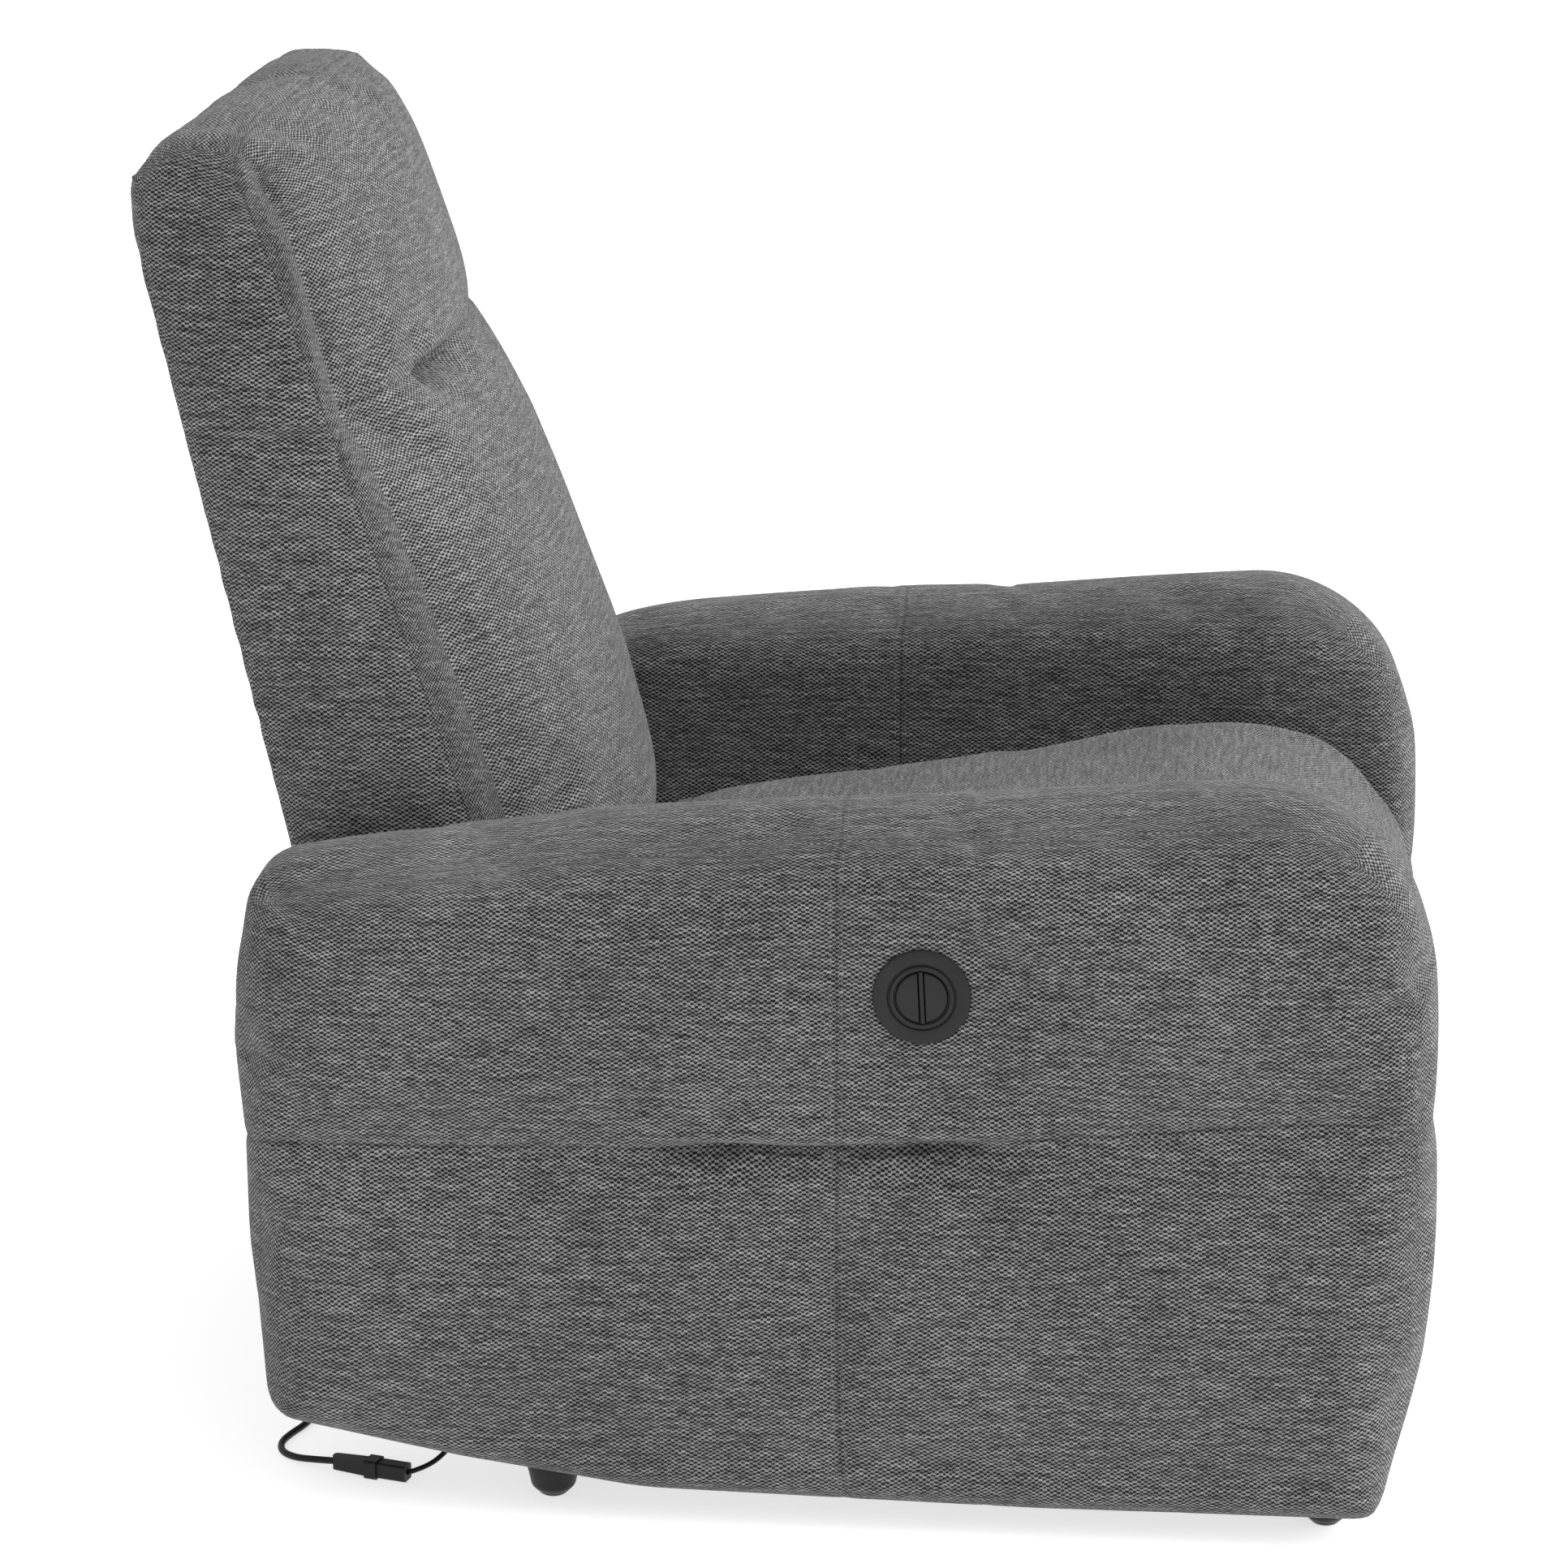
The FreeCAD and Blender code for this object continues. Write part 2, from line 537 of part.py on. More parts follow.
def make_back_frame():
    post = slab(leaning([(-8, POST_LOW), (-8, POST_TOP), (-8 - POST_DEPTH, POST_TOP), (-8 - POST_DEPTH, POST_LOW)]),
                225, 250)
    save("back_posts", both(post))
    rails = []
    for z in (POST_LOW, 640.0, POST_TOP - 50):
        rails.append(slab(leaning([(-8, z), (-8, z + 50), (-30, z + 50), (-30, z)]), -225, 225))
    save("back_rails", Part.makeCompound(rails))
    lean = math.hypot(1, 1 / 3.0)
    springs = []
    for y in (-130, 0, 130):
        def place(s, t, y=y):
            return Vector(seam_x(POST_LOW + 50 + s / lean) - 14, y + t, POST_LOW + 50 + s / lean)
        springs.append(zigzag_spring(6, 250, 30, 26.0, 1.8, place))
    save("back_springs", Part.makeCompound(springs))


def make_back_brackets():
    low, high = LAYER_SWING
    low_mount, top_mount = 378.0, 452.0
    px, pz = BACK_PIVOT
    shape = strap([LEVER_END, BACK_PIVOT], 10, LAYER_SWING)
    arm = slab([(px + 10, pz), (seam_x(low_mount) - 12, low_mount, 10), (seam_x(top_mount) - 14, top_mount, 8),
                (seam_x(top_mount) - 44, top_mount, 8), (seam_x(low_mount) - 46, low_mount, 20), (px - 10, pz)],
               low, high)
    shape = shape.fuse(arm)
    shape = drilled(shape, [BACK_PIVOT])
    spacer = slab(leaning([(-16, 392), (-16, 442), (-42, 442), (-42, 392)]), 250, low)
    shape = shape.fuse([spacer, stud(LEVER_END, low, LAYER_ROD[1])])
    save("back_brackets", both(shape.removeSplitter()))


def make_back_soft():
    front = [(-129, 408), (-124, 470, 60), (-205, 690, 500), (-283, 850, 250), (-322, 985, 120),
             (-352, BACK_TOP, 40), (-420, BACK_TOP, 12), (seam_x(1010), 1010)]
    rear = [(seam_x(352), 352), (-158, 352), (-156, 400)]
    side = slab(front + rear, -BACK_HALF, BACK_HALF)
    notch = slab([(-260, 300), (-100, 300), (-100, 425), (-260, 425)], 250, 300)
    cushion = side.cut(notch).cut(mirrored(notch))
    save("back_cushion", cushion)

    top = 1003.0
    rear_low = 225.0
    rear_skin = 12.0
    panel = slab([(rear_x(rear_low), rear_low), (rear_x(rear_low) + rear_skin, rear_low),
                  (rear_x(top) + rear_skin, top), (BACK_REAR, top), (BACK_REAR, 976, 60)], -BACK_HALF, BACK_HALF)
    save("back_rear_panel", panel)
    border = slab([(BACK_REAR, top), (seam_x(top) - 1, top), (-421, BACK_TOP - 6), (-466, BACK_TOP - 10, 20),
                   (BACK_REAR, top + 8, 6)],
                  -BACK_HALF, BACK_HALF)
    save("back_top_border", border)
    side_low = 465.0
    cheek = slab([(seam_x(side_low) - 1, side_low), (seam_x(top) - 1, top), (rear_x(top) + rear_skin, top),
                  (rear_x(side_low) + rear_skin, side_low)], 250, BACK_HALF)
    save("back_side_panels", both(cheek))


# ---- supply lead -------------------------------------------------------------------------------
CONNECTOR_RIGHT = Vector(-291, -323, 7.7)
CONNECTOR_LEFT = Vector(-352, -306, 7.7)
CLIP_END = Vector(-226, -238, 56)
CHAIR_LEAD = [(-226, -238, 56), (-237, -253, 49), (-247, -269, 38), (-256, -285, 25), (-267, -301, 13.5),
              (-279, -314, 8.4), (-291, -323, 7.7)]
SUPPLY_LEAD = [(-352, -306, 7.7), (-368, -301.5, 6.2), (-385, -294, 4.0), (-398, -281, 2.85), (-402, -263, 2.85),
               (-397, -245, 2.85), (-389, -226, 2.85), (-384, -200, 2.85), (-386, -165, 2.85), (-394, -125, 2.85),
               (-400, -85, 2.85), (-399, -45, 2.85), (-392.5, -12, 3.0), (-388.25, 20, 3.55)]
TAIL_LEAD = [(-314.5, 20, 8.3), (-313, -4, 7.4), (-306, -27, 7.6), (-294, -48, 9.5), (-280, -64, 12)]


def along_connector(shape):
    """Move a shape drawn along +X from its right end onto the connector's line."""
    direction = CONNECTOR_LEFT - CONNECTOR_RIGHT
    turn = math.degrees(math.atan2(direction.y, direction.x))
    shape.rotate(Vector(0, 0, 0), Vector(0, 0, 1), turn)
    shape.translate(CONNECTOR_RIGHT)
    return shape


def make_lead():
    clip = block(-232, -212.5, -236, -212, 52, 68)
    nose = Part.makeCone(5.5, 3.2, 11, Vector(-219, -228, 59.5), CLIP_END - Vector(-219, -228, 59.5))
    save("lead_clip", clip.fuse(nose).removeSplitter())
    save("chair_lead", tube_along(CHAIR_LEAD, LEAD_R))
    length = (CONNECTOR_LEFT - CONNECTOR_RIGHT).Length
    split = 24.0
    half_h = 6.5
    right = block(0, split, -6.5, 6.5, -half_h, half_h)
    right = right.makeFillet(2.2, [e for e in right.Edges if abs(e.Length - split) < 0.1])
    collar = block(split, split + 10, -8.2, 8.2, -7.6, 7.6)
    collar = collar.makeFillet(2.5, [e for e in collar.Edges if abs(e.Length - 10) < 0.1])
    body = rounded_face([(split + 10, -6.8, 1), (length, -3.8, 3), (length, 3.8, 3), (split + 10, 6.8, 1)], "XY")
    body.translate(Vector(0, 0, -5.5))
    left = collar.fuse(body.extrude(Vector(0, 0, 11.0))).removeSplitter()
    save("lead_plug", along_connector(right))
    save("lead_socket", along_connector(left))
    tail = tube_along(TAIL_LEAD, SUPPLY_R)
    save("supply_lead", Part.makeCompound([tube_along(SUPPLY_LEAD, SUPPLY_R), tail]))

    cx, cy = COIL_CENTRE
    outer_r, inner_r, height = COIL_MID_R + 11, COIL_MID_R - 11, 10.3
    centre = Vector(cx, cy, COIL_LIFT)
    coil = Part.makeCylinder(outer_r, height, centre).cut(Part.makeCylinder(inner_r, height, centre))
    save("supply_coil", coil)
    tie_low = cy + inner_r - 1.6
    tie = block(cx - 4, cx + 4, tie_low, cy + outer_r + 1.0, 0, height + COIL_LIFT + 1.0)
    hole = block(cx - 5, cx + 5, tie_low + 0.8, cy + outer_r + 0.2, COIL_LIFT, height + COIL_LIFT + 0.2)
    save("coil_tie", tie.cut(hole))
    adapter = block(-39, 39, -23, 23, 0, 31)
    adapter = adapter.makeFillet(5, [e for e in adapter.Edges if abs(e.Length - 31) < 0.1])
    adapter = adapter.makeFillet(2.5, [e for e in adapter.Edges if e.CenterOfMass.z > 30])
    adapter = adapter.fuse([block(38, 56, y - 0.75, y + 0.75, 12, 18.3) for y in (-6.35, 6.35)])
    adapter.rotate(Vector(0, 0, 0), Vector(0, 0, 1), -52)
    adapter.translate(Vector(-256, -94.7, 0))
    save("power_adapter", adapter)


os.makedirs("parts", exist_ok=True)
make_arms()
make_feet()
make_base()
make_switch()
make_swing_links()
make_drive_rods()
make_seat_frame()
make_seat_springs()
make_seat_cushion()
make_actuator()
make_drive_block()
make_footrest()
make_back_frame()
make_back_brackets()
make_back_soft()
make_lead()
print("nodes", len(os.listdir("parts")))
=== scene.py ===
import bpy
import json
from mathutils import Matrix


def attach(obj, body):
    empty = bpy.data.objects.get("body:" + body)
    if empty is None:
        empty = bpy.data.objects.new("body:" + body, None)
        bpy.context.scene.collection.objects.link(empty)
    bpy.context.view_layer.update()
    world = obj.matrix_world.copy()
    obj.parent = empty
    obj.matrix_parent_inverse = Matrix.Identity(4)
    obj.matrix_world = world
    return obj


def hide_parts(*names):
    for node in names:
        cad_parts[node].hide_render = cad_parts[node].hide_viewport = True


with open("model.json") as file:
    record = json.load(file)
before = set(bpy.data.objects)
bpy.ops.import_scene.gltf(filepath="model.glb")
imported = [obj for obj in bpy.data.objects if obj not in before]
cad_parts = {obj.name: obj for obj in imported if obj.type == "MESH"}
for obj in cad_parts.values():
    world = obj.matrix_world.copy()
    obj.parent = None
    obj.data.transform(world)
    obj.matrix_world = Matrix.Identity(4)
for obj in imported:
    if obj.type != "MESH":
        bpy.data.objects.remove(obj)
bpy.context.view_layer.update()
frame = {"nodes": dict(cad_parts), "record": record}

import json
import math

import bmesh
import bpy
import numpy as np
from mathutils import Vector

MM = 0.001
NODES = frame["nodes"]

# Sizes shared by the pieces, in metres.
ARM_IN, ARM_OUT = 0.265, 0.395          # |Y| of an arm's inner and outer faces
SEAT_HALF, BACK_HALF = 0.262, 0.255     # half widths between the arms
SWITCH_X, SWITCH_Z = 0.109, 0.431       # the switch's middle

# The cushions' grids, in metres.
CORNER_STEP = 0.002                     # along an outline's rounded corners
SEAM_CELL, DENSE_CELL = 0.003, 0.004    # grid step at a seam and in a dense zone
CELL_REACH = 0.020                      # the step grows back to the plain one over this length

# The cloth simulation that puffs them up.
SIM_FRAMES = 20
SIM_QUALITY = 5
CLOTH_MASS, CLOTH_STIFFNESS, CLOTH_BEND = 0.3, 15.0, 0.5
HOLD_STEPS = 10                         # strengths of hold told apart


def add_object(name, data):
    made = bpy.data.objects.new(name, data)
    bpy.context.scene.collection.objects.link(made)
    return made


# ---- camera and lights -------------------------------------------------------------------------
CAMERA_PLACE, CAMERA_LOOK = (0.3365, -3.9365, 1.6099), (-0.0888, 0.9572, -0.2756)
CAMERA_LENS, CAMERA_SENSOR, CAMERA_FAR = 117.4, 36.0, 50.0
SKY_STRENGTH = 0.62
# name, where it shines from, how wide it spreads in degrees, strength
SUNS = [("key", (2.8, 0.0, 2.3), 60.0, 2.6), ("fill", (1.4, -0.5, 2.6), 90.0, 1.0)]
FLOOR_HALF = 30.0
FLOOR_GREY, FLOOR_ROUGHNESS, FLOOR_GLOW = 0.6, 0.9, 0.68
WHITE = (1.0, 1.0, 1.0, 1.0)


def make_camera():
    data = bpy.data.cameras.new("camera")
    data.lens = CAMERA_LENS
    data.sensor_width = CAMERA_SENSOR
    data.clip_end = CAMERA_FAR
    camera = add_object("camera", data)
    camera.location = CAMERA_PLACE
    camera.rotation_euler = Vector(CAMERA_LOOK).to_track_quat("-Z", "Y").to_euler()
    bpy.context.scene.camera = camera


def make_studio():
    world = bpy.data.worlds.new("studio")
    bpy.context.scene.world = world
    world.use_nodes = True
    background = world.node_tree.nodes["Background"]
    background.inputs["Color"].default_value = WHITE
    background.inputs["Strength"].default_value = SKY_STRENGTH
    for name, place, spread_deg, power in SUNS:
        data = bpy.data.lights.new(name, "SUN")
        data.energy = power
        data.angle = math.radians(spread_deg)
        light = add_object(name, data)
        light.location = place
        light.rotation_euler = (-Vector(place)).to_track_quat("-Z", "Y").to_euler()
    bpy.context.scene.view_settings.view_transform = "Standard"
    mesh = bpy.data.meshes.new("floor")
    corners = [(sx * FLOOR_HALF, sy * FLOOR_HALF, 0) for sx, sy in ((-1, -1), (1, -1), (1, 1), (-1, 1))]
    mesh.from_pydata(corners, [], [(0, 1, 2, 3)])
    floor = add_object("floor", mesh)
    material = bpy.data.materials.new("floor")
    material.use_nodes = True
    shader = material.node_tree.nodes["Principled BSDF"]
    shader.inputs["Base Color"].default_value = (FLOOR_GREY, FLOOR_GREY, FLOOR_GREY, 1.0)
    shader.inputs["Roughness"].default_value = FLOOR_ROUGHNESS
    shader.inputs["Emission Color"].default_value = WHITE
    shader.inputs["Emission Strength"].default_value = FLOOR_GLOW
    mesh.materials.append(material)


# ---- material helpers --------------------------------------------------------------------------
class Graph:
    """A material's node tree, with short calls for the nodes used here."""

    def __init__(self, name):
        self.material = bpy.data.materials.new(name)
        self.material.use_nodes = True
        self.tree = self.material.node_tree
        self.shader = self.tree.nodes["Principled BSDF"]

    def node(self, kind, **settings):
        made = self.tree.nodes.new(kind)
        for key, value in settings.items():
            setattr(made, key, value)
        return made

    def feed(self, node, socket, value):
        if hasattr(value, "is_output"):
            self.tree.links.new(value, node.inputs[socket])
        else:
            node.inputs[socket].default_value = value

    def math(self, operation, a, b=0.0, c=0.0):
        made = self.node("ShaderNodeMath", operation=operation)
        self.feed(made, 0, a)
        self.feed(made, 1, b)
        self.feed(made, 2, c)
        return made.outputs[0]

    def noise(self, vector, scale, detail=2.0, roughness=0.5):
        made = self.node("ShaderNodeTexNoise")
        self.feed(made, "Vector", vector)
        self.feed(made, "Scale", scale)
        self.feed(made, "Detail", detail)
        self.feed(made, "Roughness", roughness)
        return made.outputs["Fac"]

    def scaled(self, vector, x, y, z):
        made = self.node("ShaderNodeVectorMath", operation="MULTIPLY")
        self.feed(made, 0, vector)
        self.feed(made, 1, (x, y, z))
        return made.outputs[0]

    def ramp(self, value, stops):
        made = self.node("ShaderNodeValToRGB")
        self.feed(made, "Fac", value)
        ramp = made.color_ramp
        while len(ramp.elements) < len(stops):
            ramp.elements.new(0.5)
        for element, (place, colour) in zip(ramp.elements, stops):
            element.position = place
            element.color = tuple(colour) + (1.0,)
        return made.outputs["Color"]

    def smooth(self, value, start, end):
        """0 at start and 1 at end, eased."""
        made = self.node("ShaderNodeMapRange", interpolation_type="SMOOTHSTEP")
        self.feed(made, "Value", value)
        rising = start < end
        self.feed(made, "From Min", start if rising else end)
        self.feed(made, "From Max", end if rising else start)
        self.feed(made, "To Min", 0.0 if rising else 1.0)
        self.feed(made, "To Max", 1.0 if rising else 0.0)
        return made.outputs[0]

    def mix(self, factor, a, b):
        made = self.node("ShaderNodeMix", data_type="RGBA")
        self.feed(made, 0, factor)
        self.feed(made, 6, a)
        self.feed(made, 7, b)
        return made.outputs[2]

    def bump(self, height, distance, strength=1.0):
        made = self.node("ShaderNodeBump")
        self.feed(made, "Height", height)
        self.feed(made, "Distance", distance)
        self.feed(made, "Strength", strength)
        return made.outputs["Normal"]

    def object_place(self):
        return self.node("ShaderNodeTexCoord").outputs["Object"]


def grey(value):
    return (value, value, value)


def grey_socket(value):
    return grey(value) + (1.0,)


FABRIC_LIGHT, FABRIC_DARK = 0.161, 0.006       # the yarn's colour, and the pits' between the yarns
STITCH_LONG, STITCH_HIGH = 0.0056, 0.0034      # the weave's repeat along and across its rows
# the rows wander: the noise's scale per metre, and how far it moves them
WANDERS = [(60.0, (0.0050, 0.0040, 0.0)), (330.0, (0.0018, 0.0012, 0.0))]
# noises: scale per metre along and across the rows, detail, roughness
SLUB, STREAK, FUZZ = (110.0, 430.0, 3.0, 0.6), (26.0, 240.0, 2.0, 0.5), (1100.0, 1100.0, 2.0, 0.7)
# how much each adds to the tone, and to the height
ROW_TONE, FUZZ_TONE, SLUB_TONE, STREAK_TONE, BODY_TONE = 0.66, 0.25, 0.75, 0.50, 0.15
SLUB_HEIGHT, FUZZ_HEIGHT, THREAD_HEIGHT, FABRIC_RELIEF = 0.6, 0.6, 0.5, 0.0009
DITCH_WIDE, DITCH_DEEP = 0.0018, 0.0003        # from the seam: the ditch's edge and its bottom
# how far painted shade darkens the seam's ditch, and how much lighter the threads are
DITCH_PAINTED_SHADE, THREAD_SHADE = 0.25, 0.55
THREAD_OFF, THREAD_REPEAT = 0.0042, 0.0052     # the thread's distance from the seam, and its stitch


def fabric_material():
    """Coarse knit-faced chenille: light wavy rows round staggered dark pits, slubs along the rows, and sewn
    seams with painted shade darkening their ditch, and short threads."""
    g = Graph("fabric")
    light, dark = FABRIC_LIGHT, FABRIC_DARK
    weave = g.node("ShaderNodeUVMap", uv_map="weave").outputs[0]
    stitches = weave
    for scale, reach in WANDERS:
        wander = g.node("ShaderNodeTexNoise")
        g.feed(wander, "Vector", weave)
        g.feed(wander, "Scale", scale)
        g.feed(wander, "Detail", 2.0)
        shift = g.node("ShaderNodeVectorMath", operation="MULTIPLY_ADD")
        g.feed(shift, 0, wander.outputs["Color"])
        g.feed(shift, 1, reach)
        g.feed(shift, 2, stitches)
        stitches = shift.outputs[0]
    split = g.node("ShaderNodeSeparateXYZ")
    g.feed(split, 0, stitches)
    along = g.math("MULTIPLY", split.outputs["X"], 2 * math.pi / STITCH_LONG)
    across = g.math("MULTIPLY", split.outputs["Y"], 2 * math.pi / STITCH_HIGH)
    weft = g.math("MULTIPLY", g.math("COSINE", along), g.math("COSINE", across))
    # staggered pits, and a slight dip in the middle of the yarns between them
    row = g.math("MULTIPLY_ADD", g.smooth(weft, -0.40, -1.00), -0.12, g.smooth(weft, 0.85, -0.55))
    slub, streak, fuzz = (g.noise(g.scaled(weave, along_scale, across_scale, 1.0), 1.0, detail, roughness)
                          for along_scale, across_scale, detail, roughness in (SLUB, STREAK, FUZZ))
    body = g.noise(g.object_place(), 5.0, 3.0)
    height = g.math("MULTIPLY_ADD", slub, SLUB_HEIGHT, row)
    height = g.math("ADD", height, g.math("MULTIPLY", fuzz, FUZZ_HEIGHT))
    tone = g.math("MULTIPLY_ADD", row, ROW_TONE, g.math("MULTIPLY", fuzz, FUZZ_TONE))
    for noise, weight in ((slub, SLUB_TONE), (streak, STREAK_TONE), (body, BODY_TONE)):
        tone = g.math("MULTIPLY_ADD", g.math("SUBTRACT", noise, 0.5), weight, tone)
    seam = g.node("ShaderNodeUVMap", uv_map="seam").outputs[0]
    place = g.node("ShaderNodeSeparateXYZ")
    g.feed(place, 0, seam)
    ditch = g.smooth(place.outputs["X"], DITCH_WIDE, DITCH_DEEP)
    beside = g.math("ABSOLUTE", g.math("SUBTRACT", place.outputs["X"], THREAD_OFF))
    beat = g.math("SINE", g.math("MULTIPLY", place.outputs["Y"], 2 * math.pi / THREAD_REPEAT))
    thread = g.math("MULTIPLY", g.smooth(beside, 0.0009, 0.0003), g.smooth(beat, -0.35, 0.1))
    colour = g.ramp(tone, [(0.10, grey(dark)), (0.34, grey(light * 0.12)), (0.64, grey(light * 0.90)),
                           (0.92, grey(light * 2.3))])
    # painted shade: the colour is darkened in the seam's recessed ditch, where shade falls
    colour = g.mix(g.math("MULTIPLY", ditch, DITCH_PAINTED_SHADE), colour, grey_socket(dark * 0.7))
    colour = g.mix(g.math("MULTIPLY", thread, THREAD_SHADE), colour, grey_socket(light * 1.25))
    height = g.math("SUBTRACT", g.math("MULTIPLY_ADD", thread, THREAD_HEIGHT, height), ditch)
    g.feed(g.shader, "Base Color", colour)
    g.feed(g.shader, "Roughness", g.math("MULTIPLY_ADD", fuzz, 0.1, 0.85))
    g.shader.inputs["Specular IOR Level"].default_value = 0.12
    g.shader.inputs["Sheen Weight"].default_value = 0.20
    g.shader.inputs["Sheen Roughness"].default_value = 0.40
    g.feed(g.shader, "Normal", g.bump(height, FABRIC_RELIEF, 1.0))
    return g.material


def plastic_material(name, colour, roughness, grain=900.0):
    """Moulded plastic with a fine spark-eroded grain and faint handling marks.  grain is per metre."""
    g = Graph(name)
    place = g.object_place()
    fine = g.noise(place, grain, 3.0, 0.6)
    broad = g.noise(place, 18.0, 3.0)
    scuff = g.noise(g.scaled(place, 40.0, 40.0, 260.0), 1.0, 2.0)
    tone = g.math("MULTIPLY_ADD", fine, 0.35, g.math("MULTIPLY", broad, 0.65))
    g.feed(g.shader, "Base Color", g.ramp(tone, [(0.25, grey(colour * 0.7)), (0.75, grey(colour * 1.35))]))
    g.feed(g.shader, "Roughness", g.math("MULTIPLY_ADD", scuff, 0.25, roughness - 0.12))
    g.shader.inputs["Specular IOR Level"].default_value = 0.22
    g.feed(g.shader, "Normal", g.bump(fine, 0.0001, 0.6))
    return g.material


def steel_material(name, colour, metallic, roughness):
    """Painted or plated steel with brushed streaks, pitting and lighter worn edges."""
    g = Graph(name)
    place = g.object_place()
    streak = g.noise(g.scaled(place, 60.0, 900.0, 900.0), 1.0, 3.0)
    blotch = g.noise(place, 30.0, 4.0, 0.6)
    edge = g.node("ShaderNodeNewGeometry").outputs["Pointiness"]
    worn = g.ramp(edge, [(0.50, grey(0.0)), (0.56, grey(1.0))])
    base = g.ramp(g.math("MULTIPLY_ADD", streak, 0.4, g.math("MULTIPLY", blotch, 0.6)),
                  [(0.3, grey(colour * 0.75)), (0.7, grey(colour * 1.25))])
    g.feed(g.shader, "Base Color", g.mix(worn, base, grey_socket(min(1.0, colour * 2.4 + 0.06))))
    g.shader.inputs["Metallic"].default_value = metallic
    g.feed(g.shader, "Roughness", g.math("MULTIPLY_ADD", blotch, 0.3, roughness - 0.15))
    g.feed(g.shader, "Normal", g.bump(streak, 0.00015, 0.5))
    return g.material


def wood_material(name, light, dark, layered=False):
    """Sawn softwood with growth rings, or plywood whose edge shows its plies."""
    g = Graph(name)
    place = g.object_place()
    rings = g.node("ShaderNodeTexWave", wave_type="RINGS", rings_direction="X")
    g.feed(rings, "Vector", g.scaled(place, 1.0, 9.0, 9.0))
    g.feed(rings, "Scale", 3.0)
    g.feed(rings, "Distortion", 6.0)
    g.feed(rings, "Detail", 3.0)
    fibre = g.noise(g.scaled(place, 12.0, 420.0, 420.0), 1.0, 4.0, 0.65)
    tone = g.math("MULTIPLY_ADD", rings.outputs["Fac"], 0.6, g.math("MULTIPLY", fibre, 0.5))
    colour = g.ramp(tone, [(0.15, light), (0.9, dark)])
    if layered:
        ply = g.node("ShaderNodeTexWave", wave_type="BANDS", bands_direction="Y")
        g.feed(ply, "Vector", place)
        g.feed(ply, "Scale", 100.0)
        tint = tuple(0.8 * c for c in dark) + (1.0,)
        colour = g.mix(g.math("MULTIPLY", ply.outputs["Fac"], 0.35), colour, tint)
    g.feed(g.shader, "Base Color", colour)
    g.feed(g.shader, "Roughness", g.math("MULTIPLY_ADD", fibre, 0.2, 0.6))
    g.feed(g.shader, "Normal", g.bump(fibre, 0.0004, 0.5))
    return g.material


# ---- outlines and soft boxes -------------------------------------------------------------------
def rounded_outline(points):
    """A closed XZ outline as a dense line, and where each corner's middle is on it.  points are the
    corners, as (x, z, radius) in mm."""
    pts = [np.array(p[:2], float) * MM for p in points]
    radii = [p[2] * MM for p in points]
    line, middles = [], []
    count = len(pts)
    for i in range(count):
        here, before, after = pts[i], pts[i - 1], pts[(i + 1) % count]
        to_before = (before - here) / np.linalg.norm(before - here)
        to_after = (after - here) / np.linalg.norm(after - here)
        half = math.acos(max(-1.0, min(1.0, float(to_before @ to_after)))) / 2
        reach = radii[i] / math.tan(half)
        bisector = (to_before + to_after) / np.linalg.norm(to_before + to_after)
        centre = here + bisector * radii[i] / math.sin(half)
        start, end = here + to_before * reach, here + to_after * reach
        parts = 2 * max(1, int(radii[i] * (math.pi - 2 * half) / CORNER_STEP / 2)) + 2
        a0 = math.atan2(*(start - centre)[::-1])
        a1 = math.atan2(*(end - centre)[::-1])
        turn = (a1 - a0 + math.pi) % (2 * math.pi) - math.pi
        for k in range(parts + 1):
            if k == parts // 2:
                middles.append(len(line))
            a = a0 + turn * k / parts
            line.append(centre + radii[i] * np.array([math.cos(a), math.sin(a)]))
    return np.array(line), middles


def spread(low, high, step, seams, dense=()):
    """Values from low to high about step apart, closer round each seam, which they hit exactly, and within
    each dense zone, given as (middle, half width)."""
    stops = [low] + [s for s in sorted(seams) if low < s < high] + [high]
    values = [low]
    for a, b in zip(stops, stops[1:]):
        x = np.linspace(a, b, 400)
        size = np.full(len(x), step)
        for s in seams:
            near = np.clip(np.abs(x - s) / CELL_REACH, 0, 1)
            size = np.minimum(size, SEAM_CELL + (step - SEAM_CELL) * near * near)
        for middle, half in dense:
            near = np.clip((np.abs(x - middle) - half) / CELL_REACH, 0, 1)
            size = np.minimum(size, DENSE_CELL + (step - DENSE_CELL) * near)
        total = np.concatenate([[0], np.cumsum(np.diff(x) / ((size[1:] + size[:-1]) / 2))])
        parts = max(1, int(round(total[-1])))
        values += list(np.interp(np.linspace(0, total[-1], parts + 1)[1:], total, x))
    return np.array(values)


def nearest_on(line, points):
    """For each XZ point, the distance to a closed line and the unit step from the line to its inside."""
    a = line
    b = np.roll(line, -1, axis=0)
    d = b - a
    lengths = (d ** 2).sum(1) + 1e-18
    best = np.full(len(points), 1e9)
    normal = np.zeros_like(points)
    area = 0.5 * float((a[:, 0] * b[:, 1] - b[:, 0] * a[:, 1]).sum())
    inward = np.stack([-d[:, 1], d[:, 0]], 1) / np.sqrt(lengths)[:, None] * (1.0 if area > 0 else -1.0)
    for k in range(len(a)):
        if lengths[k] < 1e-16:
            continue
        t = np.clip(((points - a[k]) @ d[k]) / lengths[k], 0, 1)
        q = a[k] + t[:, None] * d[k]
        dist = np.linalg.norm(points - q, axis=1)
        closer = dist < best - 1e-9
        best[closer] = dist[closer]
        normal[closer] = inward[k]
    return best, normal


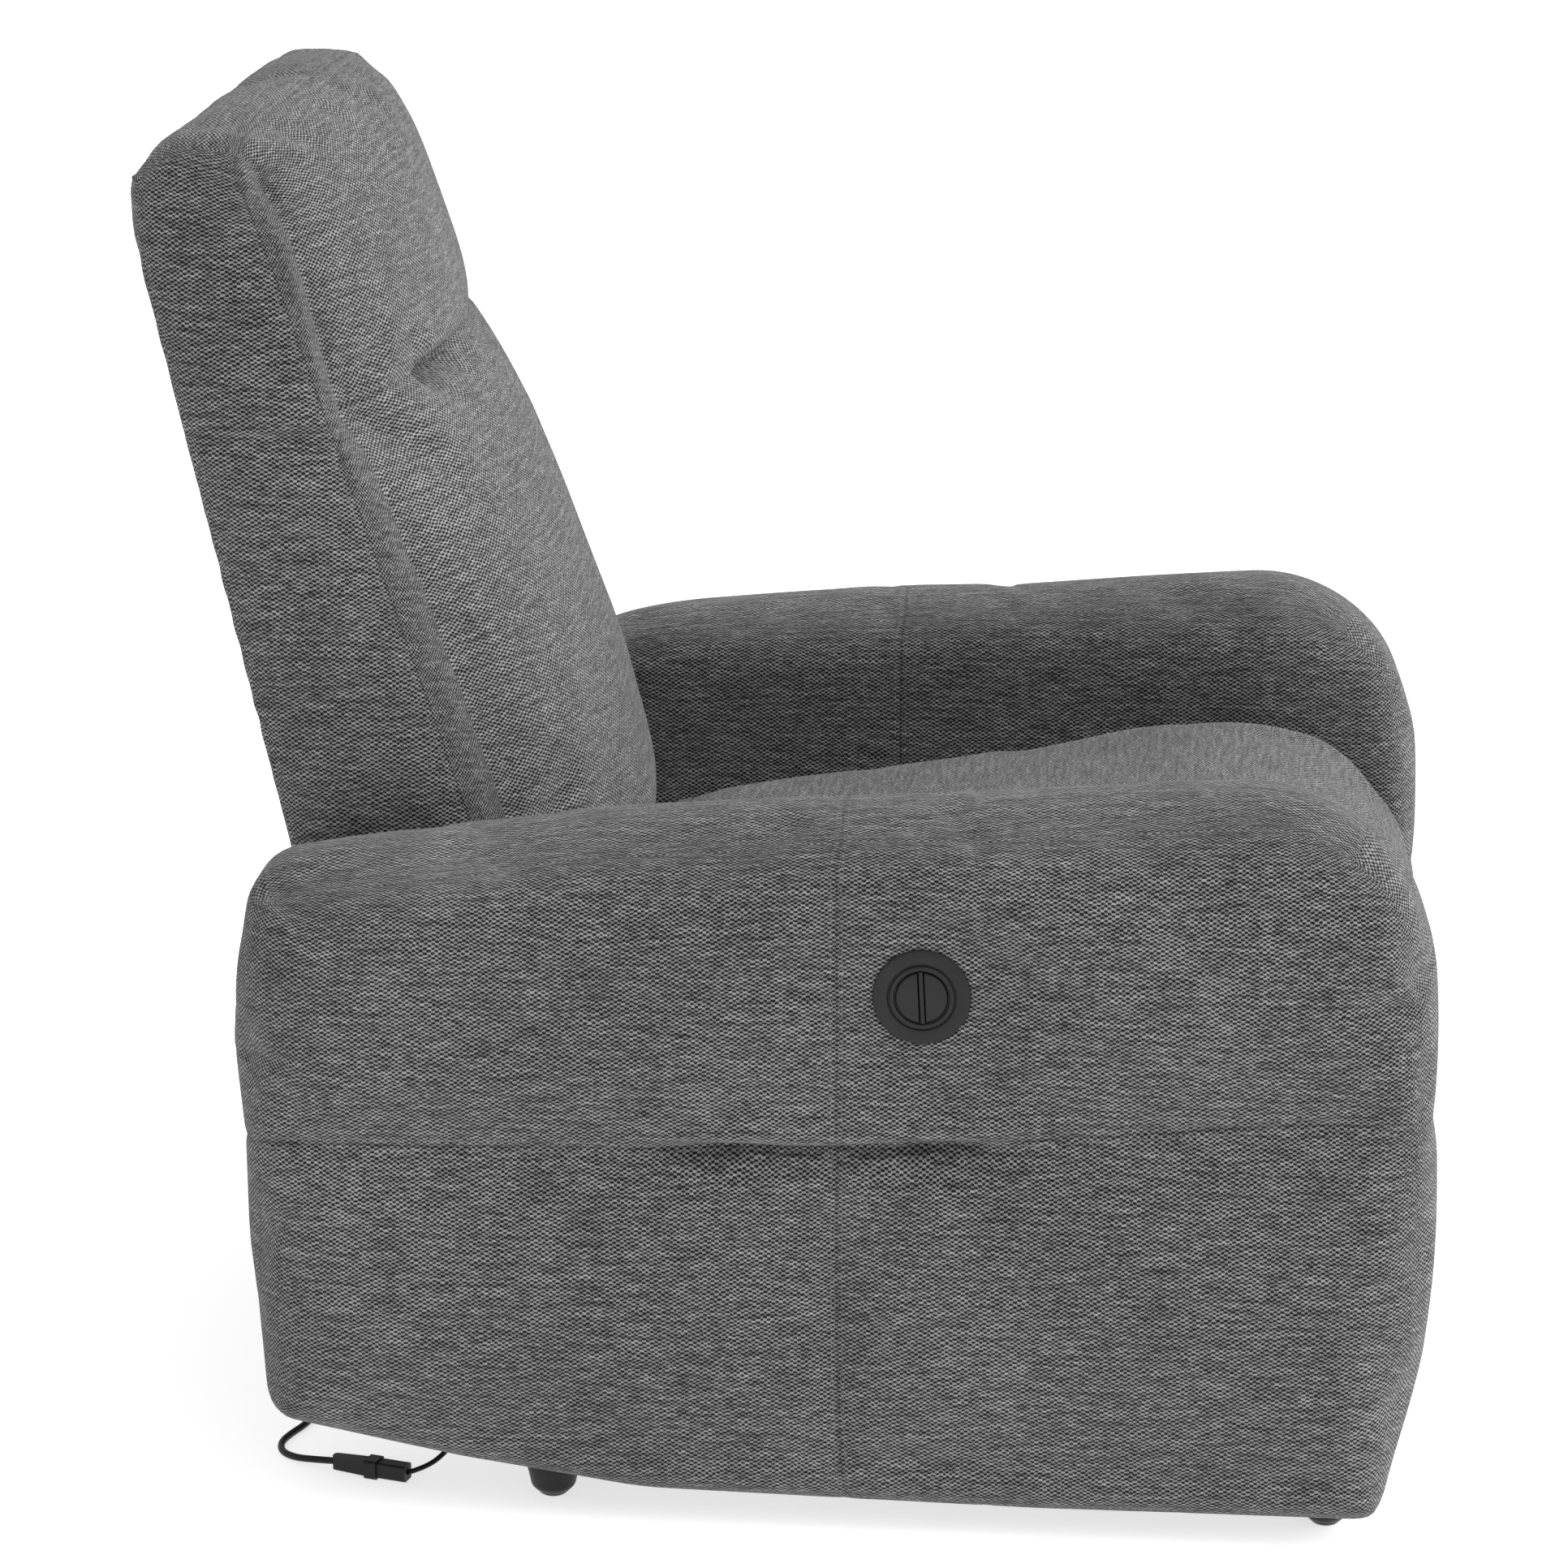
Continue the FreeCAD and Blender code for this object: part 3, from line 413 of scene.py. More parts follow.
class SoftBox:
    """A closed cushion: an XZ outline between two Y values, with rounded long edges and a grid that
    follows its seams.  Patches are rear, front, top, bottom, low_y and high_y."""

    def __init__(self, outline, corners, y_low, y_high, radius, step, y_step, columns=(), levels=(),
                 ribs=(), dense_x=(), dense_z=(), weave="arm"):
        """corners are the outline's corners between rear and bottom, bottom and front, front and top, and
        top and rear; columns are (x at the bottom, x at the top, line giving x from z); levels are z at the
        rear, at each column and at the front; ribs are y; dense_x and dense_z only ask for closer grid
        lines; weave is "across" where one cloth runs round from the front to the rear, else each patch has
        its own."""
        line, middles = rounded_outline(outline)
        self.line = line
        marks = [middles[c] for c in corners]
        cut = [self._part(line, marks[i], marks[(i + 1) % 4]) for i in range(4)]
        bottom, front, top, rear = cut[0], cut[1], cut[2][::-1], cut[3][::-1]
        z_front = spread(front[0, 1], front[-1, 1], step, [v[-1] for v in levels], dense_z)
        x_top = spread(top[0, 0], top[-1, 0], step, [c[1] for c in columns], dense_x)
        front_stops = [z_front[0]] + [v[-1] for v in levels] + [z_front[-1]]
        self.column = [int(np.argmin(np.abs(x_top - c[1]))) for c in columns]
        self.level = [int(np.argmin(np.abs(z_front - v[-1]))) for v in levels]
        anchors = [(bottom[0, 0], top[0, 0])] + [c[:2] for c in columns] + [(bottom[-1, 0], top[-1, 0])]
        x_bottom = np.interp(x_top, [p[1] for p in anchors], [p[0] for p in anchors])
        z_rear = np.interp(z_front, front_stops, [rear[0, 1]] + [v[0] for v in levels] + [rear[-1, 1]])
        bottom, front = self._on(bottom, 0, x_bottom), self._on(front, 1, z_front)
        top, rear = self._on(top, 0, x_top), self._on(rear, 1, z_rear)
        top[0], top[-1] = rear[-1], front[-1]
        bottom[0], bottom[-1] = rear[0], front[0]
        curves = [rear]
        for n, (c, i) in enumerate(zip(columns, self.column)):
            z = np.interp(z_front, front_stops, [bottom[i, 1]] + [v[n + 1] for v in levels] + [top[i, 1]])
            curve = np.stack([[c[2](v) for v in z], z], 1)
            curve[0], curve[-1] = bottom[i], top[i]
            curves.append(curve)
        curves.append(front)
        # the cells between two neighbouring curves are a Coons patch
        grid = np.zeros((len(x_top), len(z_front), 2))
        t = ((z_front - z_front[0]) / (z_front[-1] - z_front[0]))[None, :, None]
        stops = [0] + self.column + [len(x_top) - 1]
        for n, (a, b) in enumerate(zip(stops, stops[1:])):
            low, high, bot, up = curves[n], curves[n + 1], bottom[a:b + 1], top[a:b + 1]
            s = ((x_top[a:b + 1] - x_top[a]) / (x_top[b] - x_top[a]))[:, None, None]
            grid[a:b + 1] = ((1 - t) * bot[:, None] + t * up[:, None] + (1 - s) * low[None] + s * high[None]
                             - (1 - s) * (1 - t) * bot[0] - s * (1 - t) * bot[-1] - (1 - s) * t * up[0]
                             - s * t * up[-1])
        self.grid = grid
        self.y = spread(y_low, y_high, y_step, ribs)
        self.rib = [int(np.argmin(np.abs(self.y - r))) for r in ribs]
        self.weave = weave
        self.paths = []
        self._mesh()
        self._round(y_low, y_high, radius)

    @staticmethod
    def _part(line, a, b):
        return line[a:b + 1] if b > a else np.concatenate([line[a:], line[:b + 1]])

    @staticmethod
    def _on(curve, axis, values):
        """The curve's points where the coordinate on that axis has these values."""
        order = np.argsort(curve[:, axis], kind="stable")
        other = np.interp(values, curve[order, axis], curve[order, 1 - axis])
        pair = [None, None]
        pair[axis], pair[1 - axis] = np.asarray(values), other
        return np.stack(pair, 1)

    def _mesh(self):
        grid, y = self.grid, self.y
        ni, nj, nk = grid.shape[0], grid.shape[1], len(y)
        self.shape = (ni, nj, nk)
        loop = ([(i, 0) for i in range(ni)] + [(ni - 1, j) for j in range(1, nj)]
                + [(i, nj - 1) for i in range(ni - 2, -1, -1)] + [(0, j) for j in range(nj - 2, 0, -1)])
        points, index = [], {}

        def vertex(i, j, k):
            key = (i, j, k)
            if key not in index:
                index[key] = len(points)
                points.append((grid[i, j, 0], y[k], grid[i, j, 1]))
            return index[key]
        faces, patches = [], []
        for i in range(ni - 1):
            for j in range(nj - 1):
                low = [(i, j), (i + 1, j), (i + 1, j + 1), (i, j + 1)]
                high = [(i, j), (i, j + 1), (i + 1, j + 1), (i + 1, j)]
                faces.append([vertex(m, n, 0) for m, n in low])
                faces.append([vertex(m, n, nk - 1) for m, n in high])
                patches += ["low_y", "high_y"]
        for n, (i, j) in enumerate(loop):
            a, b = loop[(n + 1) % len(loop)]
            if j == b == 0:
                patch = "bottom"
            elif j == b == nj - 1:
                patch = "top"
            else:
                patch = "front" if i == a == ni - 1 else "rear"
            for k in range(nk - 1):
                faces.append([vertex(i, j, k), vertex(i, j, k + 1), vertex(a, b, k + 1), vertex(a, b, k)])
                patches.append(patch)
        self.index = index
        self.keys = np.array(sorted(index, key=index.get))
        self.sharp = np.array(points)
        self.faces, self.patches = faces, patches
        ring = np.array([grid[i, j] for i, j in loop])
        steps = np.linalg.norm(np.roll(ring, -1, axis=0) - ring, axis=1)
        self.arc = dict(zip(loop, np.concatenate([[0], np.cumsum(steps)[:-1]])))
        self.round_length = float(steps.sum())

    def _round(self, y_low, y_high, radius):
        """Turn the square long edges into arcs; radius gives each point's, from its inward normal."""
        p = self.sharp.copy()
        a, normal = nearest_on(self.line, p[:, [0, 2]])
        for end, sign in ((y_low, 1.0), (y_high, -1.0)):
            b = (p[:, 1] - end) * sign
            r = radius(p, normal)
            near = (a < r) & (b < r)
            over = np.stack([r - a, r - b], 1)
            size = np.linalg.norm(over, axis=1) + 1e-12
            moved = r[:, None] - r[:, None] * over / size[:, None]
            push_a = np.where(near, moved[:, 0] - a, 0.0)
            push_b = np.where(near, moved[:, 1] - b, 0.0)
            p[:, 0] += normal[:, 0] * push_a
            p[:, 2] += normal[:, 1] * push_a
            p[:, 1] += sign * push_b
        self.points = p
        self.inside = a

    # seams run along grid lines; each path is a list of vertices
    def seam(self, cells, depth):
        self.paths.append(([self.index[c] for c in cells], depth))

    def seam_up(self, i, depth):
        """A seam up both sides along a column and over the top."""
        _, nj, nk = self.shape
        for k in (0, nk - 1):
            self.seam([(i, j, k) for j in range(nj)], depth)
        self.seam([(i, nj - 1, k) for k in range(nk)], depth)

    def seam_along(self, j, depth, i_from=0, i_to=None, sides=("low", "high"), ends=("front", "rear")):
        """A seam along a level, from one column to another on the sides and across the ends."""
        ni, _, nk = self.shape
        i_to = ni - 1 if i_to is None else i_to
        if "low" in sides:
            self.seam([(i, j, 0) for i in range(i_from, i_to + 1)], depth)
        if "high" in sides:
            self.seam([(i, j, nk - 1) for i in range(i_from, i_to + 1)], depth)
        if "front" in ends:
            self.seam([(ni - 1, j, k) for k in range(nk)], depth)
        if "rear" in ends:
            self.seam([(0, j, k) for k in range(nk)], depth)

    def _measure_seams(self):
        """Every vertex's distance from the nearest seam, its place along it, and the recess there."""
        count = len(self.sharp)
        self.off = np.full(count, 1.0)
        self.along = np.zeros(count)
        self.dent = np.zeros(count)
        for path, depth in self.paths:
            line = self.sharp[path]
            a, d = line[:-1], np.diff(line, axis=0)
            length = np.linalg.norm(d, axis=1) + 1e-12
            start = np.concatenate([[0], np.cumsum(length)[:-1]])
            apart = np.full(count, 1.0)
            for n in range(len(a)):
                t = np.clip(((self.sharp - a[n]) @ d[n]) / length[n] ** 2, 0, 1)
                away = np.linalg.norm(self.sharp - a[n] - t[:, None] * d[n], axis=1)
                apart = np.minimum(apart, away)
                closer = away < self.off
                self.off[closer] = away[closer]
                self.along[closer] = (start[n] + t * length[n])[closer]
            self.dent = np.maximum(self.dent, depth * np.exp(-(apart / (0.0035 + 0.45 * depth)) ** 2))
        self.sewn = np.zeros(count)
        for path, _ in self.paths:
            self.sewn[path] = 1.0

    def weave_at(self, vertex, patch):
        """Where a vertex is on the flat cloth of its patch, in metres."""
        x, y, z = self.sharp[vertex]
        if patch in ("low_y", "high_y"):
            return x, z
        if self.weave == "across":
            i, j, _ = self.keys[vertex]
            arc = self.arc[(int(i), int(j))]
            return y, (arc if arc > 0 or patch == "bottom" else self.round_length)
        return (x, y) if patch in ("top", "bottom") else (y, z)

    def build(self, name):
        """Add the cushion to the scene, with coordinates for weave and seams, and the seams recessed."""
        self._measure_seams()
        mesh = bpy.data.meshes.new(name)
        mesh.from_pydata([tuple(p) for p in self.points], [], self.faces)
        weave, stitch = [], []
        for face, patch in zip(self.faces, self.patches):
            for vertex in face:
                weave += self.weave_at(vertex, patch)
                stitch += (self.off[vertex], self.along[vertex])
        mesh.uv_layers.new(name="weave").data.foreach_set("uv", np.array(weave, np.float32))
        mesh.uv_layers.new(name="seam").data.foreach_set("uv", np.array(stitch, np.float32))
        mesh.polygons.foreach_set("use_smooth", [True] * len(mesh.polygons))
        mesh.update()
        piece = add_object(name, mesh)
        normals = np.empty(len(mesh.vertices) * 3)
        mesh.vertices.foreach_get("normal", normals)
        set_coordinates(piece, self.points - normals.reshape(-1, 3) * self.dent[:, None])
        return piece


def coordinates(piece):
    values = np.empty(len(piece.data.vertices) * 3)
    piece.data.vertices.foreach_get("co", values)
    return values.reshape(-1, 3)


def set_coordinates(piece, values):
    piece.data.vertices.foreach_set("co", values.reshape(-1))
    piece.data.update()


def inflate(piece, held, pressure, growth, cap):
    """Puff the piece up as cloth over foam.  held is 1 where it is sewn or backed and 0 where it is free;
    the cloth is cut larger by growth, and no point ends up farther than cap from where it was."""
    start = coordinates(piece)
    group = piece.vertex_groups.new(name="held")
    for level in range(1, HOLD_STEPS + 1):
        chosen = np.nonzero(np.round(held * HOLD_STEPS).astype(int) == level)[0]
        if len(chosen):
            group.add([int(v) for v in chosen], level / HOLD_STEPS, "REPLACE")
    cloth = piece.modifiers.new("cloth", "CLOTH")
    settings = cloth.settings
    settings.quality = SIM_QUALITY
    settings.mass = CLOTH_MASS
    settings.tension_stiffness = CLOTH_STIFFNESS
    settings.compression_stiffness = CLOTH_STIFFNESS
    settings.shear_stiffness = CLOTH_STIFFNESS / 3
    settings.bending_stiffness = CLOTH_BEND
    settings.use_pressure = True
    settings.uniform_pressure_force = pressure
    settings.shrink_min = -growth
    settings.vertex_group_mass = "held"
    settings.effector_weights.gravity = 0.0
    cloth.point_cache.frame_start = 1
    cloth.point_cache.frame_end = SIM_FRAMES
    scene = bpy.context.scene
    for number in range(1, SIM_FRAMES + 1):
        scene.frame_set(number)
    seen = piece.evaluated_get(bpy.context.evaluated_depsgraph_get())
    values = np.empty(len(seen.data.vertices) * 3)
    seen.data.vertices.foreach_get("co", values)
    piece.modifiers.remove(cloth)
    piece.vertex_groups.remove(group)
    scene.frame_set(1)
    step = values.reshape(-1, 3) - start
    size = np.linalg.norm(step, axis=1)
    limit = cap * np.tanh(size / cap)
    set_coordinates(piece, start + step * (limit / (size + 1e-9))[:, None])


def finish_soft(piece, body, nodes):
    smooth = piece.modifiers.new("subdivision", "SUBSURF")
    smooth.levels = smooth.render_levels = 1
    piece.data.materials.append(MATERIALS["fabric"])
    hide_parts(*nodes)
    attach(piece, body)


def smoothstep(low, high, values):
    t = np.clip((values - low) / (high - low), 0, 1)
    return t * t * (3 - 2 * t)


# ---- arms --------------------------------------------------------------------------------------
# x, z, radius in mm, as in every outline below
ARM_OUTLINE = [(-389, 76, 24), (-240, 48, 250), (-100, 28, 300), (200, 23, 300), (455, 24, 16),
               (486, 190, 300), (483, 410, 250), (457, 588, 124), (-150, 547, 600), (-391, 508, 40),
               (-408, 420, 200), (-396, 200, 250)]


ARM_MIDDLE_X = 0.047                    # the upright seam's top
ARM_HOLLOW_X = (-0.038, 0.120)          # where the long seam is drawn in deepest
ARM_SEAM_X, ARM_SEAM_Z = (-0.40, 0.047, 0.49), (0.299, 0.309, 0.332)    # the long seam
ARM_REACH_Y = 0.4065                    # the outer face's farthest |Y|
SWITCH_CELLS = 0.042                    # half the square with a finer grid round the switch
SWITCH_PLANE = 0.3945                   # |Y| of the flat cloth round the switch
FLAT_FROM, FLAT_TO = 0.038, 0.095       # flat within the first distance, free beyond the second
HOLE_FROM, HOLE_TO, HOLE_DEPTH = 0.026, 0.033, 0.020


def arm_radius(points, normal):
    up = smoothstep(0.3, 0.95, np.clip(-normal[:, 1], 0, 1))
    down = smoothstep(0.3, 0.9, np.clip(normal[:, 1], 0, 1))
    return 0.030 + 0.028 * up - 0.014 * down


def arm_crease(points, above):
    """How far the cloth is drawn in round the long seam: a sharp lip above it and a slope below it,
    deepest on each side of the upright seam.  above is the height over the seam."""
    x = points[:, 0]
    rear, front = ARM_HOLLOW_X
    depth = (0.018 * np.exp(-((x - rear) / 0.042) ** 2) + 0.018 * np.exp(-((x - front) / 0.044) ** 2)
             + 0.011 * np.exp(-((x - ARM_MIDDLE_X) / 0.05) ** 2))
    drawn = np.where(above > 0, np.exp(-(above / 0.0034) ** 2), np.exp(-(above / 0.015) ** 2))
    lip = 0.22 * np.exp(-((above - 0.014) / 0.010) ** 2)
    return depth * (drawn - lip)


def make_arms():
    """The right arm is puffed up, and the left one is its mirror image without the switch."""
    box = SoftBox(ARM_OUTLINE, (0, 4, 7, 9), -ARM_OUT + 0.002, -ARM_IN - 0.0015, arm_radius, step=0.011,
                  y_step=0.010, columns=[(0.060, ARM_MIDDLE_X, lambda z: 0.045 + 0.00045 / (z + 0.02))],
                  levels=[ARM_SEAM_Z], dense_x=[(SWITCH_X, SWITCH_CELLS)],
                  dense_z=[(SWITCH_Z, SWITCH_CELLS)])
    box.seam_along(box.level[0], 0.0010, sides=("low",))
    level_paths = len(box.paths)
    box.seam_up(box.column[0], 0.0005)
    piece = box.build("arm_cover_right")
    x, y, z = box.sharp.T
    backed = smoothstep(-ARM_IN - 0.012, -ARM_IN - 0.002, y) * smoothstep(0.54, 0.49, z)
    under = smoothstep(0.09, 0.04, z) * 0.6
    off_switch = np.hypot(x - SWITCH_X, z - SWITCH_Z)
    near_switch = smoothstep(0.060, 0.040, off_switch) * smoothstep(-0.38, -0.39, y)
    upright, sewn = np.zeros(len(x)), np.zeros(len(x))
    for path, _ in box.paths[level_paths:]:
        upright[path] = 0.5
    for path, _ in box.paths[:level_paths]:
        sewn[path] = 1.0
    inflate(piece, np.maximum.reduce([sewn, upright, backed, under, near_switch]), 2.0, 0.006, 0.024)
    points = coordinates(piece)
    points[:, 1] = np.clip(points[:, 1], -ARM_REACH_Y, -ARM_IN - 0.0005)
    outer = points[:, 1] < -0.36
    points[:, 1] += arm_crease(points, z - np.interp(x, ARM_SEAM_X, ARM_SEAM_Z)) * outer
    left = piece.copy()
    left.data = piece.data.copy()
    left.name = left.data.name = "arm_cover_left"
    bpy.context.scene.collection.objects.link(left)
    set_coordinates(left, points * np.array([1, -1, 1]))
    left.data.flip_normals()
    away = np.hypot(points[:, 0] - SWITCH_X, points[:, 2] - SWITCH_Z)
    flat = smoothstep(FLAT_TO, FLAT_FROM, away) * outer
    points[:, 1] += (-SWITCH_PLANE - points[:, 1]) * flat
    points[:, 1] += HOLE_DEPTH * smoothstep(HOLE_TO, HOLE_FROM, away) * outer
    set_coordinates(piece, points)
    finish_soft(piece, "chair_base", ["arm_pad_right"])
    finish_soft(left, "chair_base", ["arm_pad_left"])


# ---- seat --------------------------------------------------------------------------------------
SEAT_REACH_Y, SEAT_REAR_X = 0.2640, -0.150


def seat_radius(points, normal):
    top = smoothstep(0.2, 0.8, -normal[:, 1])
    front = smoothstep(0.3, 0.9, -normal[:, 0])
    return 0.010 + 0.016 * top + 0.016 * front


def make_seat():
    outline = [(-149, 319, 6), (424, 319, 4), (424, 293, 3), (481, 293, 12), (483, 380, 90), (431, 464, 62),
               (300, 468, 220), (60, 424, 400), (-149, 391, 10)]
    box = SoftBox(outline, (0, 3, 5, 8), -SEAT_HALF + 0.001, SEAT_HALF - 0.001, seat_radius, step=0.011,
                  y_step=0.012, weave="across")
    piece = box.build("seat_cover")
    x, _, z = box.sharp.T
    low = smoothstep(0.335, 0.322, z) * smoothstep(0.455, 0.43, x)
    rear = smoothstep(-0.135, -0.148, x)
    inflate(piece, np.maximum.reduce([low, rear]), 2.0, 0.008, 0.022)
    points = coordinates(piece)
    points[:, 1] = np.clip(points[:, 1], -SEAT_REACH_Y, SEAT_REACH_Y)
    points[:, 0] = np.maximum(points[:, 0], SEAT_REAR_X)
    set_coordinates(piece, points)
    finish_soft(piece, "seat", ["seat_cushion"])


# ---- backrest ----------------------------------------------------------------------------------
BACK_LOW_Z, CROSS_Z, CORNER_Z = 0.352, 0.836, 1.015     # its lower edge, the seam across, the side's corner
CREASE_DEPTH = 0.032
CREASE_DROP = (0.94, 0.34)              # how the crease is drawn in, as shares to the rear and down
RIB_Y = 0.238                           # |Y| of the seams up the rear face, next to its sides
PANEL_Y = (0.2512, 0.2600)              # |Y| of the side panels; the wood inside reaches 0.250
LOW_PANEL_Z, LOW_PANEL_Y = 0.50, 0.2570         # between the arms they stay narrower


def seam_x(z):
    """The side panel's upright seam."""
    return -0.247 - (z - 0.522) / 3.0


def rear_x(z):
    """The back's rear face."""
    return -0.384 - (z - 0.505) * 0.227


def side_seam(z):
    """The upright seam, which bends forward above the side's corner."""
    return seam_x(z) if z <= CORNER_Z else seam_x(CORNER_Z) + (z - CORNER_Z) / 0.036 * 0.013


def back_radius(points, normal):
    front = smoothstep(0.15, 0.8, -normal[:, 0])
    top = smoothstep(0.3, 0.9, -normal[:, 1])
    crest = smoothstep(0.92, 0.99, points[:, 2])
    return 0.010 + 0.062 * front + (0.018 * top + 0.014 * crest * (1 - top)) * (1 - front)


def back_crease(box, points):
    """The cloth is drawn in round the middle of the seam across the back, with a sharp lip above it."""
    x, _, z = box.sharp.T
    y = points[:, 1]
    above = (z - CROSS_Z) / 0.9
    across = smoothstep(-0.140, -0.105, y) * smoothstep(0.085, -0.085, y)
    pull = across * smoothstep(0.02, 0.05, x - seam_x(z))
    drawn = np.where(above > 0, np.exp(-(above / 0.004) ** 2), np.exp(-(above / 0.018) ** 2))
    lip = 0.30 * np.exp(-((above - 0.020) / 0.013) ** 2)
    return CREASE_DEPTH * pull * (drawn - lip)


def make_back():
    outline = [(rear_x(BACK_LOW_Z) / MM - 5, 352, 4), (-160, 352, 6), (-160, 398, 4), (-146, 405, 10),
               (-144, 468, 65), (-224, 690, 450), (-294, 850, 250), (-339, 985, 120), (-369, 1050, 56),
               (-462, 1030, 36), (-496, 999, 34), (rear_x(0.960) / MM - 4, 960, 60)]
    box = SoftBox(outline, (0, 1, 8, 10), -BACK_HALF + 0.002, BACK_HALF - 0.002, back_radius, step=0.0105,
                  y_step=0.0105, weave="across", columns=[(seam_x(BACK_LOW_Z), -0.397, side_seam)],
                  levels=[(0.800, 0.800, CROSS_Z), (0.999, CORNER_Z, 1.020)], ribs=[-RIB_Y, RIB_Y])
    column, (cross, border) = box.column[0], box.level
    box.seam_along(cross, 0.0022, i_from=column, ends=("front",))
    box.seam_along(border, 0.0010, i_from=2, i_to=column, ends=())
    box.seam_up(column, 0.0010)
    for k in box.rib:
        box.seam([(0, j, k) for j in range(box.shape[1])], 0.0004)
    x, y, z = box.sharp.T
    # the front is crowned across the middle, and so is the top
    forward = np.clip((x - seam_x(z)) / 0.08, 0, 1)
    box.points[:, 0] -= 0.034 * (y / 0.22) ** 2 * forward
    box.points[:, 2] -= 0.011 * (y / 0.22) ** 2 * smoothstep(0.95, 1.035, z) * smoothstep(-0.47, -0.40, x)
    piece = box.build("back_cover")
    rear = smoothstep(0.010, 0.002, x - rear_x(z)) * 0.4
    bottom = smoothstep(0.40, 0.38, z)
    upper_rear = smoothstep(0.965, 0.990, z) * smoothstep(-0.455, -0.475, x)
    corner = upper_rear * smoothstep(0.20, 0.235, np.abs(y))
    sewn = 0.5 * box.sewn
    # the first three paths are the seam across, right, left and front; the last two are up the rear
    for (path, _), hold in zip(box.paths[:3] + box.paths[-2:], (1.0, 1.0, 0.7, 0.25, 0.25)):
        sewn[path] = hold
    inflate(piece, np.maximum.reduce([rear, bottom, corner, sewn]), 2.2, 0.012, 0.026)
    points = coordinates(piece)
    drawn = back_crease(box, points)
    points[:, 0] -= CREASE_DROP[0] * drawn
    points[:, 2] -= CREASE_DROP[1] * drawn
    panel = (np.abs(y) > 0.2525) & (x < seam_x(z) + 0.004) & (box.inside > 0.012)
    outward = np.sign(y) * np.clip(np.abs(points[:, 1]), *PANEL_Y)
    wide = np.where(panel, outward, np.clip(points[:, 1], -PANEL_Y[1], PANEL_Y[1]))
    points[:, 1] = np.where(points[:, 2] < LOW_PANEL_Z, np.clip(wide, -LOW_PANEL_Y, LOW_PANEL_Y), wide)
    set_coordinates(piece, points)
    finish_soft(piece, "backrest", ["back_cushion", "back_side_panels", "back_top_border"])


def make_back_skirt():
    """The padded panel that hangs from the back's lower edge."""
    low, high, skin = 0.226, 0.362, 0.011
    outline = [(rear_x(low) / MM + 1, low / MM, 4), (rear_x(low) / MM + skin / MM, low / MM, 4),
               (rear_x(high) / MM + skin / MM, high / MM, 2), (rear_x(high) / MM + 1, high / MM, 2)]
    box = SoftBox(outline, (0, 1, 2, 3), -BACK_HALF + 0.003, BACK_HALF - 0.003,
                  lambda points, normal: np.full(len(points), 0.004), step=0.004, y_step=0.012,
                  weave="across")
    piece = box.build("back_skirt")
    inflate(piece, smoothstep(0.31, 0.35, box.sharp[:, 2]), 1.0, 0.004, 0.004)
    finish_soft(piece, "backrest", ["back_rear_panel"])


# ---- footrest ----------------------------------------------------------------------------------
FOOT_REACH_Y, FOOT_REAR_X = 0.2635, 0.433


def make_footrest():
    outline = [(433, 61, 5), (466, 61, 22), (485, 130, 120), (485, 230, 120), (472, 281, 22), (433, 281, 5)]
    box = SoftBox(outline, (0, 1, 4, 5), -SEAT_HALF + 0.001, SEAT_HALF - 0.001,
                  lambda points, normal: 0.006 + 0.014 * smoothstep(0.3, 0.9, -normal[:, 0]), step=0.010,
                  y_step=0.012, weave="across")
    piece = box.build("footrest_cover")
    inflate(piece, smoothstep(0.437, 0.4335, box.sharp[:, 0]), 2.0, 0.008, 0.014)
    points = coordinates(piece)
    points[:, 1] = np.clip(points[:, 1], -FOOT_REACH_Y, FOOT_REACH_Y)
    points[:, 0] = np.maximum(points[:, 0], FOOT_REAR_X)
    set_coordinates(piece, points)
    finish_soft(piece, "footrest", ["footrest_pad"])


# ---- cords, in mm ------------------------------------------------------------------------------
CHAIR_LEAD = [(-226, -238, 56), (-237, -253, 49), (-247, -269, 38), (-256, -285, 25), (-267, -301, 13.5),
              (-279, -314, 8.4), (-291, -323, 7.7)]
SUPPLY_LEAD = [(-352, -306, 7.7), (-368, -301.5, 6.2), (-385, -294, 4.0), (-398, -281, 2.85),
               (-402, -263, 2.85), (-397, -245, 2.85), (-389, -226, 2.85), (-384, -200, 2.85),
               (-386, -165, 2.85), (-394, -125, 2.85), (-400, -85, 2.85), (-399, -45, 2.85),
               (-392.5, -12, 3.0)]
TAIL_LEAD = [(-313, -4, 7.4), (-306, -27, 7.6), (-294, -48, 9.5), (-280, -64, 12)]
CHAIR_R, SUPPLY_R = 2.0, 2.75
COIL_CENTRE, COIL_OUTER, COIL_INNER = (-350.0, 20.0), 38.25, 21.75
COIL_PER_TURN, TURNS_LOW, TURNS_ALL = 16, 3.0, 5.5
COIL_CLEAR, COIL_LIFT = 0.8, 5.3        # the gap under it, and the upper turns' rise over the lower
COIL_POLYGON = 1 / 0.987                # the smooth line runs a little inside its control points


def cord_curve(name, points, radius):
    data = bpy.data.curves.new(name, "CURVE")
    data.dimensions = "3D"
    data.bevel_depth = radius * MM
    data.bevel_resolution = 5
    data.resolution_u = 8
    spline = data.splines.new("NURBS")
    spline.points.add(len(points) - 1)
    for place, point in zip(spline.points, points):
        place.co = (point[0] * MM, point[1] * MM, point[2] * MM, 1.0)
    spline.order_u = 3
    spline.use_endpoint_u = True
    data.materials.append(MATERIALS["cable"])
    piece = add_object(name, data)
    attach(piece, "chair_base")
    return piece


